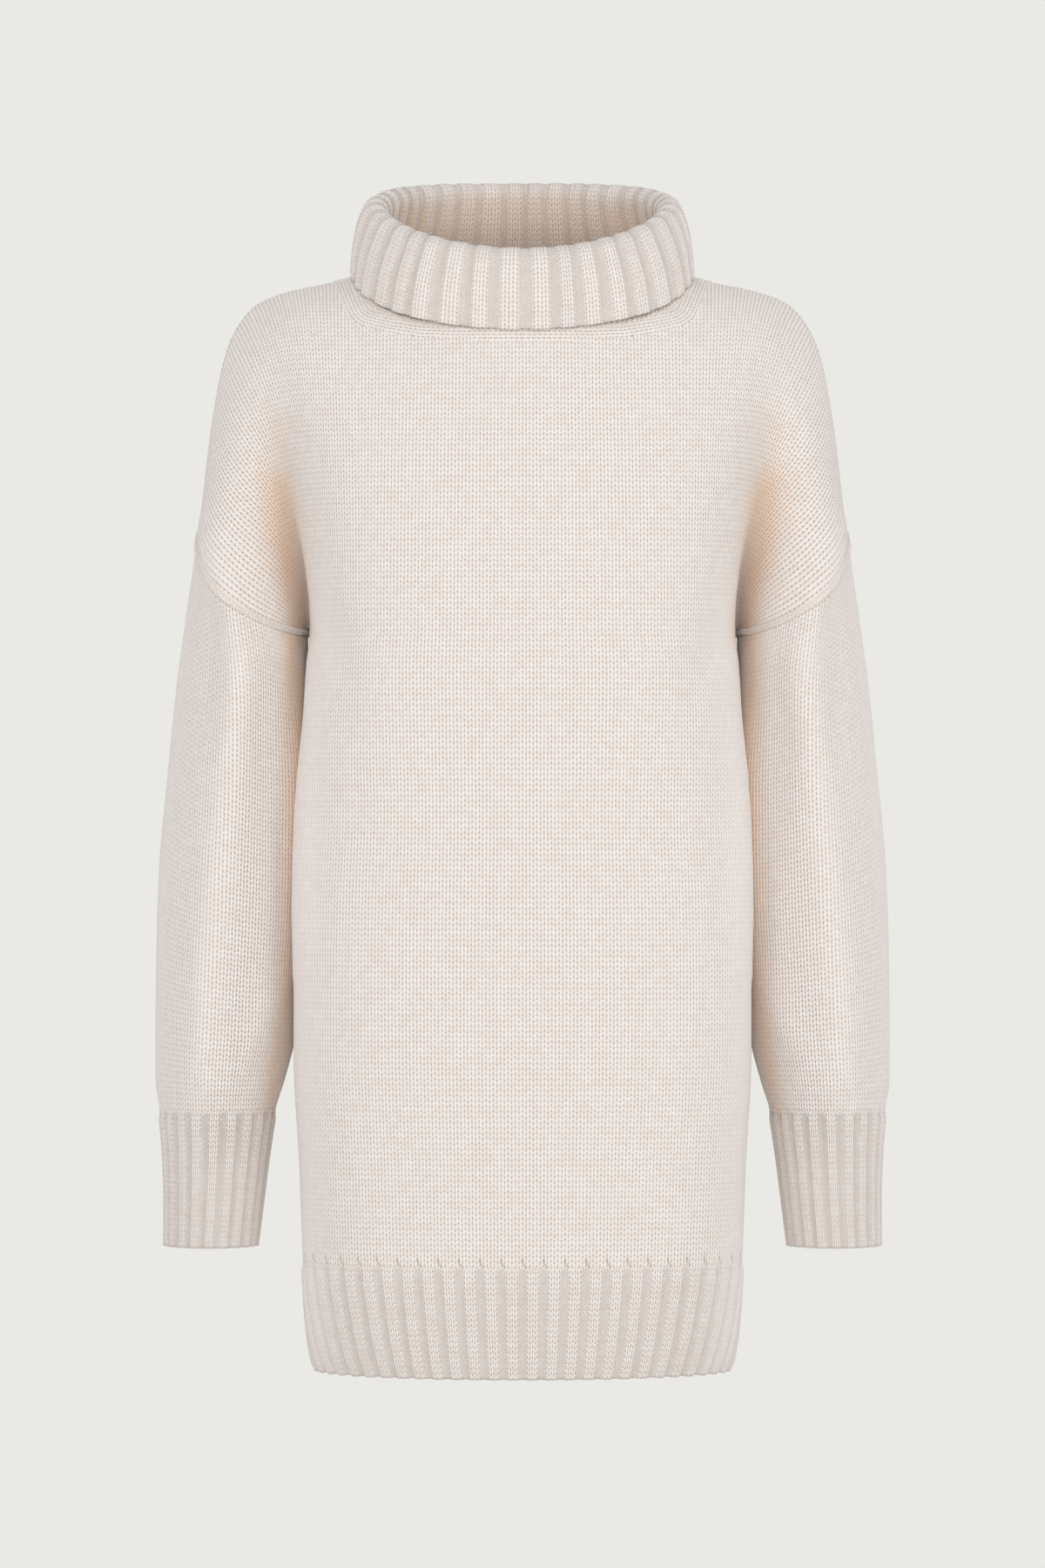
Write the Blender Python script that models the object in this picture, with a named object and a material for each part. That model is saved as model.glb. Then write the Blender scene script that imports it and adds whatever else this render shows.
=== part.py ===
"""Turtleneck sweater, hollow as worn: two body panels, two sleeves and a folded ribbed collar.

Metres, +Z up, front towards -Y, wearer's left towards +X. The origin lies between the two
points where the shoulder line meets the neck, where the wearer's shoulders carry the sweater.
Tables hold the right half (+X) of the front; the other side and the back mirror them.
"""

import math
from typing import NamedTuple

import bmesh
import bpy
import numpy as np

# Cloth
WALL = 0.0030
RIB_RELIEF = 0.0015
HALF_SEAM_GAP = 0.00018

# Knitting: one wale is one column of stitches
CHEST_WALES = 60
NECK_WALES = 24
HEM_RIBS_A_QUARTER = 16
CUFF_RIBS = 22
COLLAR_RIBS = 38
GROOVE_SHARE = 0.56

# Heights
ARMPIT_HEIGHT = -0.2540
CUFF_RIB_TOP = -0.5900

# How far round the body's side the arm's pressure reaches
TUCK_REACH = 0.034


class Torso(NamedTuple):
    """A level section of the body below the armpits.

    Its quarters are ellipses at squareness 2 and squarer above; the arm presses its side in by tuck.
    """

    height: float
    half_width: float
    front: float
    back: float
    tuck: float
    squareness: float


TORSO = (
    Torso(height=-0.7745, half_width=0.1500, front=0.112, back=0.114, tuck=0.006, squareness=2.15),
    Torso(height=-0.7350, half_width=0.1526, front=0.117, back=0.121, tuck=0.012, squareness=2.45),
    Torso(height=-0.6960, half_width=0.1548, front=0.121, back=0.125, tuck=0.016, squareness=2.7),
    Torso(height=-0.6300, half_width=0.1572, front=0.122, back=0.127, tuck=0.018, squareness=2.7),
    Torso(height=-0.5500, half_width=0.1612, front=0.122, back=0.127, tuck=0.022, squareness=2.7),
    Torso(height=-0.4600, half_width=0.1598, front=0.121, back=0.121, tuck=0.026, squareness=2.7),
    Torso(height=-0.3600, half_width=0.1548, front=0.120, back=0.116, tuck=0.024, squareness=2.7),
    Torso(height=-0.3000, half_width=0.1518, front=0.120, back=0.115, tuck=0.016, squareness=2.7),
    Torso(height=-0.2540, half_width=0.1520, front=0.119, back=0.115, tuck=0.002, squareness=2.7),
)


class ChestArc(NamedTuple):
    """Where a wale stands along the quarter section at armpit height, as a share of it."""

    wale: float
    share: float


CHEST_ARC = (
    ChestArc(wale=0, share=0.0),
    ChestArc(wale=34, share=0.735),
    ChestArc(wale=44, share=0.905),
    ChestArc(wale=60, share=1.0),
)


class Shoulder(NamedTuple):
    """The shoulder line, from the neck point down over the upper arm."""

    wale: float
    out: float
    height: float


SHOULDER = (
    Shoulder(wale=24.0, out=0.1170, height=0.0020),
    Shoulder(wale=28.0, out=0.1395, height=-0.0035),
    Shoulder(wale=33.0, out=0.1670, height=-0.0093),
    Shoulder(wale=37.0, out=0.1890, height=-0.0178),
    Shoulder(wale=40.4, out=0.2034, height=-0.0340),
    Shoulder(wale=43.5, out=0.2118, height=-0.0525),
    Shoulder(wale=47.5, out=0.2182, height=-0.0805),
    Shoulder(wale=52.5, out=0.2235, height=-0.1160),
    Shoulder(wale=57.0, out=0.2272, height=-0.1510),
    Shoulder(wale=60.0, out=0.2306, height=-0.1800),
)


class Handle(NamedTuple):
    """How a wale leaves the armpit height and arrives at the shoulder line or neck.

    It leaves upwards by rise, outwards by out and forwards by ahead. It arrives from a
    point that stands depth in front of the arms' line at level, inset from the wale's end.
    """

    wale: float
    rise: float
    out: float
    ahead: float
    depth: float
    level: float
    inset: float


HANDLES = (
    Handle(wale=0, rise=0.085, out=0.000, ahead=0.000, depth=0.104, level=-0.098, inset=0.000),
    Handle(wale=12, rise=0.088, out=0.000, ahead=0.000, depth=0.101, level=-0.088, inset=0.000),
    Handle(wale=20, rise=0.100, out=0.001, ahead=0.000, depth=0.092, level=-0.050, inset=0.000),
    Handle(wale=26, rise=0.112, out=0.002, ahead=0.001, depth=0.086, level=-0.018, inset=0.000),
    Handle(wale=33, rise=0.118, out=0.002, ahead=0.004, depth=0.084, level=-0.022, inset=0.006),
    Handle(wale=40, rise=0.122, out=0.003, ahead=0.012, depth=0.080, level=-0.072, inset=0.022),
    Handle(wale=46, rise=0.120, out=-0.003, ahead=0.000, depth=0.083, level=-0.138, inset=0.016),
    Handle(wale=52, rise=0.090, out=0.000, ahead=0.006, depth=0.088, level=-0.186, inset=0.008),
    Handle(wale=56, rise=0.046, out=0.010, ahead=0.044, depth=0.090, level=-0.208, inset=0.003),
    Handle(wale=60, rise=0.004, out=0.022, ahead=0.088, depth=0.090, level=-0.236, inset=0.000),
)


class Ring(NamedTuple):
    """A tilted oval round the neck: half its width, its reach ahead and behind, and its heights."""

    wide: float
    ahead: float
    behind: float
    front_z: float
    side_z: float
    back_z: float


NECK_SEAM = Ring(wide=0.1170, ahead=0.0850, behind=0.0780, front_z=-0.0370, side_z=0.0020, back_z=0.0080)
COLLAR_RINGS = (
    Ring(wide=0.1010, ahead=0.0740, behind=0.0690, front_z=-0.0220, side_z=0.0120, back_z=0.0220),
    Ring(wide=0.0850, ahead=0.0660, behind=0.0620, front_z=-0.0080, side_z=0.0330, back_z=0.0440),
    Ring(wide=0.0790, ahead=0.0630, behind=0.0600, front_z=0.0060, side_z=0.0500, back_z=0.0620),
    Ring(wide=0.0850, ahead=0.0680, behind=0.0650, front_z=0.0130, side_z=0.0590, back_z=0.0710),
    Ring(wide=0.0960, ahead=0.0790, behind=0.0750, front_z=0.0150, side_z=0.0620, back_z=0.0735),
    Ring(wide=0.1070, ahead=0.0900, behind=0.0850, front_z=0.0110, side_z=0.0580, back_z=0.0690),
    Ring(wide=0.1150, ahead=0.0965, behind=0.0915, front_z=0.0000, side_z=0.0450, back_z=0.0560),
    Ring(wide=0.1190, ahead=0.1000, behind=0.0950, front_z=-0.0200, side_z=0.0240, back_z=0.0340),
    Ring(wide=0.1205, ahead=0.1000, behind=0.0950, front_z=-0.0420, side_z=0.0065, back_z=0.0140),
)


class Sleeve(NamedTuple):
    """A level section of the sleeve: its outer and inner edge, its front ridge and its depth."""

    height: float
    outer: float
    inner: float
    ridge: float
    depth: float
    forward: float


SLEEVE = (
    Sleeve(height=-0.2950, outer=0.2465, inner=0.1535, ridge=0.2010, depth=0.0640, forward=0.000),
    Sleeve(height=-0.3500, outer=0.2520, inner=0.1500, ridge=0.2040, depth=0.0620, forward=0.001),
    Sleeve(height=-0.4200, outer=0.2583, inner=0.1505, ridge=0.2090, depth=0.0600, forward=0.003),
    Sleeve(height=-0.4800, outer=0.2602, inner=0.1540, ridge=0.2150, depth=0.0580, forward=0.005),
    Sleeve(height=-0.5350, outer=0.2606, inner=0.1605, ridge=0.2190, depth=0.0560, forward=0.008),
    Sleeve(height=-0.5700, outer=0.2604, inner=0.1690, ridge=0.2190, depth=0.0530, forward=0.010),
    Sleeve(height=-0.5900, outer=0.2575, inner=0.1755, ridge=0.2180, depth=0.0480, forward=0.011),
    Sleeve(height=-0.6200, outer=0.2545, inner=0.1805, ridge=0.2190, depth=0.0450, forward=0.012),
    Sleeve(height=-0.6550, outer=0.2532, inner=0.1850, ridge=0.2200, depth=0.0420, forward=0.014),
    Sleeve(height=-0.6870, outer=0.2533, inner=0.1890, ridge=0.2215, depth=0.0395, forward=0.015),
)
SLEEVE_TOP_KEY = -0.2300
SLEEVE_SQUARENESS = 1.75
CUFF_SQUARENESS = 2.0
ARM_CENTRE = np.array([0.192, 0.0, -0.216])
ARM_AXIS = np.array([0.10, 0.0, -0.995])
UNDER_ARM_REACH = 0.022

# How finely the solids are cut
CAP_STEPS = np.array([0.0, 0.07, 0.15, 0.24, 0.34, 0.45, 0.56, 0.67, 0.77, 0.86, 0.93, 1.0])
NECK_COLUMNS = 8
ARM_WALES = (28, 32, 36, 39, 42, 44.5, 47, 49.5, 52, 54, 56, 58)
PANEL_HEIGHTS = (-0.692, -0.630, -0.550, -0.470, -0.400, -0.345, -0.300, -0.272)
HEM_ROWS = (-0.7745, -0.7350, -0.6960)
EDGE_WALE = CHEST_WALES - 0.05
LAST_STEP = 0.9990
SLEEVE_CAP_STEPS = (0.0, 0.12, 0.28, 0.5, 0.75)
SLEEVE_HEIGHTS = (-0.295, -0.325, -0.370, -0.420, -0.470, -0.520, -0.555, -0.575, -0.587)
CUFF_ROWS = (-0.5900, -0.6200, -0.6550, -0.6870)
CREAM = (0.80, 0.72, 0.64)

FRONT = -1
BACK = 1


class Track:
    """A smooth curve through values at given keys, which never swings past them."""

    def __init__(self, keys, values):
        self.keys = np.asarray(keys, float)
        self.values = np.asarray(values, float).reshape(len(keys), -1)
        self.gaps = np.diff(self.keys)[:, None]
        rise = np.diff(self.values, axis=0) / self.gaps
        agree = rise[1:] * rise[:-1] > 0
        total = np.where(agree, rise[1:] + rise[:-1], 1.0)
        inner = np.where(agree, 2 * rise[1:] * rise[:-1] / total, 0.0)
        self.slopes = np.vstack([rise[:1], inner, rise[-1:]])

    def at(self, where):
        """The values at each of the given keys, one row each."""
        where = np.clip(np.atleast_1d(np.asarray(where, float)), self.keys[0], self.keys[-1])
        span = np.clip(np.searchsorted(self.keys, where, side="right") - 1, 0, len(self.keys) - 2)
        gap = self.gaps[span]
        step = (where - self.keys[span])[:, None] / gap
        start = self.values[span] * (1 + 2 * step) * (1 - step) ** 2
        start += self.slopes[span] * gap * step * (1 - step) ** 2
        end = self.values[span + 1] * step**2 * (3 - 2 * step)
        end += self.slopes[span + 1] * gap * step**2 * (step - 1)
        return start + end


def track(table):
    """A Track through a table, keyed by its first column."""
    rows = sorted(table)
    return Track([row[0] for row in rows], [row[1:] for row in rows])


def resample(points, shares):
    """Points at the given shares of a polyline's length."""
    steps = np.linalg.norm(np.diff(points, axis=0), axis=1)
    length = np.concatenate([[0.0], np.cumsum(steps)])
    wanted = np.asarray(shares) * length[-1]
    return np.stack([np.interp(wanted, length, points[:, axis]) for axis in range(3)], axis=1)


def unit(vectors):
    """Vectors of length one."""
    return vectors / np.maximum(np.linalg.norm(vectors, axis=-1, keepdims=True), 1e-12)


def grid_normals(points, closed):
    """Outward or inward unit normals of a grid of points [row, column], by its edges."""
    if closed:
        along = np.roll(points, -1, axis=1) - np.roll(points, 1, axis=1)
    else:
        along = np.gradient(points, axis=1)
    return unit(np.cross(along, np.gradient(points, axis=0)))


TORSO_TRACK = track(TORSO)
CHEST_TRACK = track(CHEST_ARC)
SHOULDER_TRACK = track(SHOULDER)
HANDLE_TRACK = track(HANDLES)
SLEEVE_TRACK = track(SLEEVE)


def torso_quarter(height, side):
    """Fine points from the centre line round to the side seam, at one height."""
    half_width, front, back, tuck, squareness = TORSO_TRACK.at(height)[0]
    depth = front if side == FRONT else back
    angle = np.linspace(0, math.pi / 2, 241)
    y = np.cos(angle) ** (2 / squareness) * depth
    x = np.sin(angle) ** (2 / squareness) * half_width - tuck * np.exp(-((y / TUCK_REACH) ** 2))
    x *= half_width / x.max()
    return np.stack([x, side * y, np.full_like(x, height)], axis=1)


def oval(ring, angle):
    """Points of a neck ring; angle is 0 at the front and pi at the back."""
    facing = np.cos(angle)
    depth = np.where(facing > 0, ring.ahead, ring.behind)
    slope = (ring.front_z - ring.back_z) / 2
    bow = (ring.front_z + ring.back_z) / 2 - ring.side_z
    height = ring.side_z + slope * facing + bow * facing**2
    return np.stack([ring.wide * np.sin(angle), -depth * facing, height], axis=1)


def neck_mitre(angle):
    """The direction across the cloth's thickness at the neck seam, pointing outside."""
    facing = np.cos(angle)
    outwards = 0.50 + 0.33 * facing**2
    radial = unit(np.stack([np.sin(angle) / NECK_SEAM.wide, -facing / NECK_SEAM.ahead], axis=1))
    flat = radial * outwards[:, None]
    return unit(np.column_stack([flat, np.sqrt(1 - outwards**2)]))


def wale_ends(wales, side):
    """Where each wale stops: on the neck seam or on the shoulder line."""
    share = np.clip(wales / NECK_WALES, 0, 1)
    angle = np.arcsin(share)
    if side == BACK:
        angle = math.pi - angle
    ends = oval(NECK_SEAM, angle)
    beyond = wales >= NECK_WALES
    out, height = SHOULDER_TRACK.at(wales[beyond]).T
    ends[beyond] = np.stack([out, np.zeros_like(out), height], axis=1)
    return ends


def wale_curves(wales, side, steps):
    """Points [step, wale] of the wales above the armpit, each a cubic between its two ends."""
    section = torso_quarter(ARMPIT_HEIGHT, side)
    start = resample(section, CHEST_TRACK.at(wales)[:, 0])
    end = wale_ends(wales, side)
    rise, out, ahead, depth, level, inset = HANDLE_TRACK.at(wales).T
    leave = start + np.stack([out, side * ahead, rise], axis=1)
    lift = end[:, 2] - wale_ends(wales, FRONT)[:, 2]
    arrive = np.stack([end[:, 0] - inset, side * depth, level + lift], axis=1)
    t = np.asarray(steps)[:, None, None]
    return (1 - t) ** 3 * start + 3 * (1 - t) ** 2 * t * leave + 3 * (1 - t) * t**2 * arrive + t**3 * end


def panel_grid(side, heights, steps, wales):
    """Points [row, wale] of the right half of a body panel, from the hem to its top edge."""
    shares = CHEST_TRACK.at(wales)[:, 0]
    lower = np.stack([resample(torso_quarter(height, side), shares) for height in heights])
    return np.concatenate([lower, wale_curves(wales, side, steps)])


def arm_normals(points, under_arm):
    """Directions across the thickness along the armhole seam, turned down under the arm."""
    spoke = points - ARM_CENTRE
    spoke = unit(spoke - (spoke @ ARM_AXIS)[:, None] * ARM_AXIS)
    near = np.exp(-((np.linalg.norm(points - under_arm, axis=1) / UNDER_ARM_REACH) ** 2))[:, None]
    return unit(spoke * (1 - near) + np.array([0.0, 0.0, -1.0]) * near)


def armhole(side):
    """Points of the armhole seam from under the arm to the shoulder line, one for each step."""
    return wale_curves(np.array([CHEST_WALES - 0.001]), side, CAP_STEPS)[:, 0]


def armhole_shares(side):
    """How far along the armhole seam each of its points lies, as a share of its length."""
    steps = np.linalg.norm(np.diff(armhole(side), axis=0), axis=1)
    return np.concatenate([[0.0], np.cumsum(steps)]) / steps.sum()


def sleeve_section(height, side, shares):
    """Points of half a level sleeve section, from its inner to its outer edge."""
    outer, inner, ridge, depth, forward = SLEEVE_TRACK.at(height)[0]
    power = SLEEVE_SQUARENESS if height > CUFF_RIB_TOP else CUFF_SQUARENESS
    turn = np.linspace(0, math.pi, 241)
    spread = np.abs(np.cos(turn)) ** (2 / power)
    x = np.where(turn < math.pi / 2, ridge - (ridge - inner) * spread, ridge + (outer - ridge) * spread)
    y = side * depth * np.sin(turn) ** (2 / power) - forward
    return resample(np.stack([x, y, np.full_like(x, height)], axis=1), shares)


def sleeve_grid(heights, cap_steps):
    """Points [row, column] of the sleeve from the armhole to the cuff, all round the arm.

    Columns run from under the arm over the front to the outside and back over the back.
    """
    rings = []
    for height in [row.height for row in SLEEVE]:
        front = sleeve_section(height, FRONT, armhole_shares(FRONT))
        back = sleeve_section(height, BACK, armhole_shares(BACK))
        rings.append(np.concatenate([front, back[-2:0:-1]]))
    top = np.concatenate([armhole(FRONT), armhole(BACK)[-2:0:-1]])
    keys = [0.0] + [SLEEVE_TOP_KEY - row.height for row in SLEEVE]
    lines = Track(keys, np.stack([top] + rings).reshape(len(keys), -1))
    first = SLEEVE_TOP_KEY - SLEEVE[0].height
    wanted = [first * step for step in cap_steps] + [SLEEVE_TOP_KEY - height for height in heights]
    return lines.at(wanted).reshape(len(wanted), -1, 3)


def rib_columns(repeats, first, period):
    """Places and raised shares of rib columns: a groove, then the two shoulders of a rib."""
    half_groove = GROOVE_SHARE / 2
    places, raised = [], []
    for repeat in range(repeats):
        for share, lift in ((0.0, 0.0), (half_groove, 1.0), (1 - half_groove, 1.0)):
            places.append(first + (repeat + share) * period)
            raised.append(lift)
    return np.array(places), np.array(raised)


class Wall:
    """A wall of cloth: an outer and an inner skin of rows, joined along all their edges."""

    def __init__(self, name, colour, loop=None):
        self.name = name
        self.colour = colour
        self.loop = loop
        self.points = []
        self.faces = []
        self.outer = []
        self.inner = []

    def add_row(self, skin, level, places, points):
        """Add one row of a skin; places order its points, level orders the row."""
        first = len(self.points)
        self.points.extend(map(tuple, points))
        row = [(float(place), first + index) for index, place in enumerate(places)]
        if self.loop:
            row.append((row[0][0] + self.loop, first))
        skin.append((level, row))

    def zip_rows(self, one, other, flip=False):
        """Fill the strip between two rows with triangles, however many points each has."""
        i = j = 0
        while i < len(one) - 1 or j < len(other) - 1:
            last_other = j == len(other) - 1
            if last_other or (i < len(one) - 1 and one[i + 1][0] <= other[j + 1][0] + 1e-9):
                face = (one[i][1], one[i + 1][1], other[j][1])
                i += 1
            else:
                face = (one[i][1], other[j + 1][1], other[j][1])
                j += 1
            self.faces.append(face[::-1] if flip else face)

    def build(self):
        """Join the skins and return the wall as an object."""
        for skin, flip in ((self.outer, False), (self.inner, True)):
            for (_, low), (_, high) in zip(skin, skin[1:]):
                self.zip_rows(low, high, flip)
        self.zip_rows(self.inner[0][1], self.outer[0][1])
        self.zip_rows(self.outer[-1][1], self.inner[-1][1])
        if not self.loop:
            for end, flip in ((0, False), (-1, True)):
                edges = [[(level, row[end][1]) for level, row in skin] for skin in (self.outer, self.inner)]
                self.zip_rows(edges[0], edges[1], flip)
        mesh = bpy.data.meshes.new(self.name)
        mesh.from_pydata(self.points, [], self.faces)
        shape = bmesh.new()
        shape.from_mesh(mesh)
        bmesh.ops.recalc_face_normals(shape, faces=shape.faces)
        shape.to_mesh(mesh)
        shape.free()
        mesh.shade_smooth()
        mesh.set_sharp_from_angle(angle=math.radians(50))
        mesh.materials.append(wool(self.name, self.colour))
        piece = bpy.data.objects.new(self.name, mesh)
        bpy.context.scene.collection.objects.link(piece)
        return piece


def wool(name, colour):
    """Matt undyed wool."""
    material = bpy.data.materials.new(name)
    material.use_nodes = True
    shader = material.node_tree.nodes["Principled BSDF"]
    shader.inputs["Base Color"].default_value = (*colour, 1.0)
    shader.inputs["Roughness"].default_value = 0.9
    shader.inputs["Metallic"].default_value = 0.0
    return material


def mirrored(points):
    """Both halves of a panel row, from a row of the right half starting at the centre."""
    left = points[:0:-1] * np.array([-1.0, 1.0, 1.0])
    return np.concatenate([left, points])


def make_panel(name, side):
    """A body panel with its hem rib, from side seam to side seam and hem to shoulders."""
    neck_angles = np.linspace(0, math.pi / 2, NECK_COLUMNS + 1)
    wales = np.concatenate([NECK_WALES * np.sin(neck_angles), ARM_WALES, [EDGE_WALE]])
    steps = np.append(CAP_STEPS[:-1], LAST_STEP)
    half = panel_grid(side, PANEL_HEIGHTS, steps, wales)
    shares = CHEST_TRACK.at(wales)[:, 0]
    armpit_row = len(PANEL_HEIGHTS)

    normals = grid_normals(half, closed=False) * -side
    normals[:, 0] = unit(normals[:, 0] * np.array([0.0, 1.0, 1.0]))
    angle = neck_angles[:-1] if side == FRONT else math.pi - neck_angles[:-1]
    ridge = np.gradient(half[-1], axis=0) * np.array([1.0, 0.0, 1.0])
    normals[-1] = unit(np.cross(np.array([0.0, -1.0, 0.0]), ridge))
    normals[-1, :NECK_COLUMNS] = neck_mitre(angle)
    normals[armpit_row:, -1] = arm_normals(half[armpit_row:, -1], half[armpit_row, -1])
    normals[:armpit_row, -1] = (1.0, 0.0, 0.0)
    inside = half - normals * WALL

    wall = Wall(name, CREAM)
    base = np.concatenate([-shares[:0:-1], shares])
    ribs, raised = rib_columns(2 * HEM_RIBS_A_QUARTER, -1.0, 1.0 / HEM_RIBS_A_QUARTER)
    ribs = np.append(ribs, 1.0)
    raised = np.append(raised, 0.0)
    rib_ends = shares[-1]
    for height in HEM_ROWS:
        section = torso_quarter(height, side)
        level = height
        places = np.clip(ribs, -rib_ends, rib_ends)
        points = resample(section, np.abs(places))
        points[:, 0] *= np.sign(places)
        outwards = section_normals(section, np.abs(places), side)
        outwards[:, 0] *= np.where(places < 0, -1, 1)
        wall.add_row(wall.outer, level, places, points + outwards * (raised * RIB_RELIEF)[:, None])
        plain = resample(section, shares)
        inwards = section_normals(section, shares, side)
        inwards[-1] = (1.0, 0.0, 0.0)
        wall.add_row(wall.inner, level, base, mirrored(plain - inwards * WALL))
    for row, (outer, inner) in enumerate(zip(half, inside)):
        level = PANEL_HEIGHTS[row] if row < armpit_row else ARMPIT_HEIGHT + steps[row - armpit_row]
        wall.add_row(wall.outer, level, base, mirrored(outer))
        wall.add_row(wall.inner, level, base, mirrored(inner))
    return wall.build()


def section_normals(section, shares, side):
    """Level outward directions of a quarter section at shares of its length."""
    nudge = 0.01
    ahead = resample(section, np.clip(shares + nudge, 0, 1))
    behind = resample(section, np.clip(shares - nudge, 0, 1))
    along = unit(ahead - behind)
    outwards = np.stack([-side * along[:, 1], side * along[:, 0], np.zeros(len(along))], axis=1)
    outwards[shares < nudge] = (0.0, float(side), 0.0)
    return outwards


def make_sleeve(name, hand):
    """A sleeve with its cuff rib; hand is +1 for the wearer's left and -1 for the right."""
    base = np.concatenate([armhole_shares(FRONT), 2 - armhole_shares(BACK)[-2:0:-1]]) / 2
    grid = sleeve_grid(SLEEVE_HEIGHTS, SLEEVE_CAP_STEPS)
    normals = -grid_normals(grid, closed=True)
    normals[0] = arm_normals(grid[0], grid[0, 0])
    grid[0] += unit(grid[1] - grid[0]) * HALF_SEAM_GAP
    grid[0, 0] += np.array([HALF_SEAM_GAP, 0.0, 0.0])

    cuff = sleeve_grid(CUFF_ROWS, ())
    cuff_normals = -grid_normals(cuff, closed=True)
    ribs, raised = rib_columns(CUFF_RIBS, 0.0, 1.0 / CUFF_RIBS)

    mirror = np.array([hand, 1.0, 1.0])
    wall = Wall(name, CREAM, loop=1.0)
    for level, (row, out) in enumerate(zip(grid, normals)):
        wall.add_row(wall.outer, level, base, row * mirror)
        wall.add_row(wall.inner, level, base, (row - out * WALL) * mirror)
    for level, (row, out) in enumerate(zip(cuff, cuff_normals), start=len(grid)):
        outwards = unit(around(base, out, ribs))
        points = around(base, row, ribs) + outwards * (raised * RIB_RELIEF)[:, None]
        wall.add_row(wall.outer, level, ribs, points * mirror)
        wall.add_row(wall.inner, level, base, (row - out * WALL) * mirror)
    return wall.build()


def around(places, values, wanted):
    """Values at places round a closed row of period one."""
    return np.stack([np.interp(wanted, places, values[:, axis], period=1.0) for axis in range(3)], axis=1)


def make_collar():
    """The collar: a ribbed sheet from the neck seam up inside, over its roll and down outside."""
    ribs, raised = rib_columns(COLLAR_RIBS, 0.0, 1.0 / COLLAR_RIBS)
    base = ribs[raised < 1.0]
    seam_gap = np.array([0.0, 0.0, HALF_SEAM_GAP])

    seam_places = np.arange(4 * NECK_COLUMNS) / (4 * NECK_COLUMNS)
    seam_angle = 2 * math.pi * seam_places
    seam = oval(NECK_SEAM, seam_angle) + seam_gap
    wall = Wall("collar", CREAM, loop=1.0)
    wall.add_row(wall.outer, 0, seam_places, seam - neck_mitre(seam_angle) * WALL)
    wall.add_row(wall.inner, 0, seam_places, seam)

    def rows(places):
        """The visible side's rows at places round the neck, down to the free edge."""
        angle = 2 * math.pi * places
        return np.stack([oval(ring, angle) for ring in COLLAR_RINGS])

    fine = np.arange(240) / 240
    normals = -grid_normals(rows(fine), closed=True)
    for level, (shown, plain, out) in enumerate(zip(rows(ribs), rows(base), normals), start=1):
        outwards = unit(around(fine, out, ribs))
        across = unit(around(fine, out, base))
        wall.add_row(wall.outer, level, ribs, shown + outwards * (raised * RIB_RELIEF)[:, None])
        wall.add_row(wall.inner, level, base, plain - across * WALL)
    return wall.build()


def main():
    """Clear the scene and build the sweater."""
    for old in list(bpy.data.objects):
        bpy.data.objects.remove(old, do_unlink=True)
    make_panel("front_panel", FRONT)
    make_panel("back_panel", BACK)
    make_sleeve("sleeve_left", 1.0)
    make_sleeve("sleeve_right", -1.0)
    make_collar()


main()
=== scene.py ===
"""Looks of the turtleneck sweater: knitted walls with their stitches, ribs, linked seams and folds.

Metres, +Z up, front towards -Y, wearer's left towards +X. Every knitted piece is a lattice on the
worn form. Its lines follow the wales, which are columns of stitches, and its rows the courses.
"""

import logging
import math
from dataclasses import dataclass, field
from enum import Enum

import bpy
import numpy as np
from mathutils.bvhtree import BVHTree
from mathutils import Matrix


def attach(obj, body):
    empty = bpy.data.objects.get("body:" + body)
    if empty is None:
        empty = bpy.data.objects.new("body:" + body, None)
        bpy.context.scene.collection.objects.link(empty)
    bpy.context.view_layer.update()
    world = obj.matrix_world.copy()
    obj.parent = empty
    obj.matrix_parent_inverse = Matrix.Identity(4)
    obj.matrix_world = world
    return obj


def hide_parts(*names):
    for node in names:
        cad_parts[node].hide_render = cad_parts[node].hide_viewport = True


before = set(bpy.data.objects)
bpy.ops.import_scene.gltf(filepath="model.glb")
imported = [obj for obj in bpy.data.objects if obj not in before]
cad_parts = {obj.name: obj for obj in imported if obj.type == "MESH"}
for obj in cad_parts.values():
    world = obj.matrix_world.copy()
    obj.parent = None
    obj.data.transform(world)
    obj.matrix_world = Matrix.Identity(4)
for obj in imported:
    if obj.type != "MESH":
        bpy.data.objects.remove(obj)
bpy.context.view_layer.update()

log = logging.getLogger("sweater")

Rows = tuple[tuple[float, ...], ...]
Point = tuple[float, float, float]
Colour = tuple[float, float, float, float]
Mark = np.ndarray | float

WALL = 0.0030
WALE = 0.00508
COURSE = 0.00372
SEAM_DIP = 0.0009
SEAM_REACH = 0.0022
NEAR = 1e-9
CLOSE = 1e-5
BESIDE = 1e-3
MIRROR = np.array([-1.0, 1.0, 1.0])
DOWN = np.array([0.0, 0.0, -1.0])


class Side(Enum):
    """Which half of the body a panel covers; the value is the sign of its Y."""

    FRONT = -1
    BACK = 1


class Hand(Enum):
    """Which of the wearer's arms a sleeve covers; the value is the sign of its X."""

    LEFT = 1
    RIGHT = -1


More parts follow.
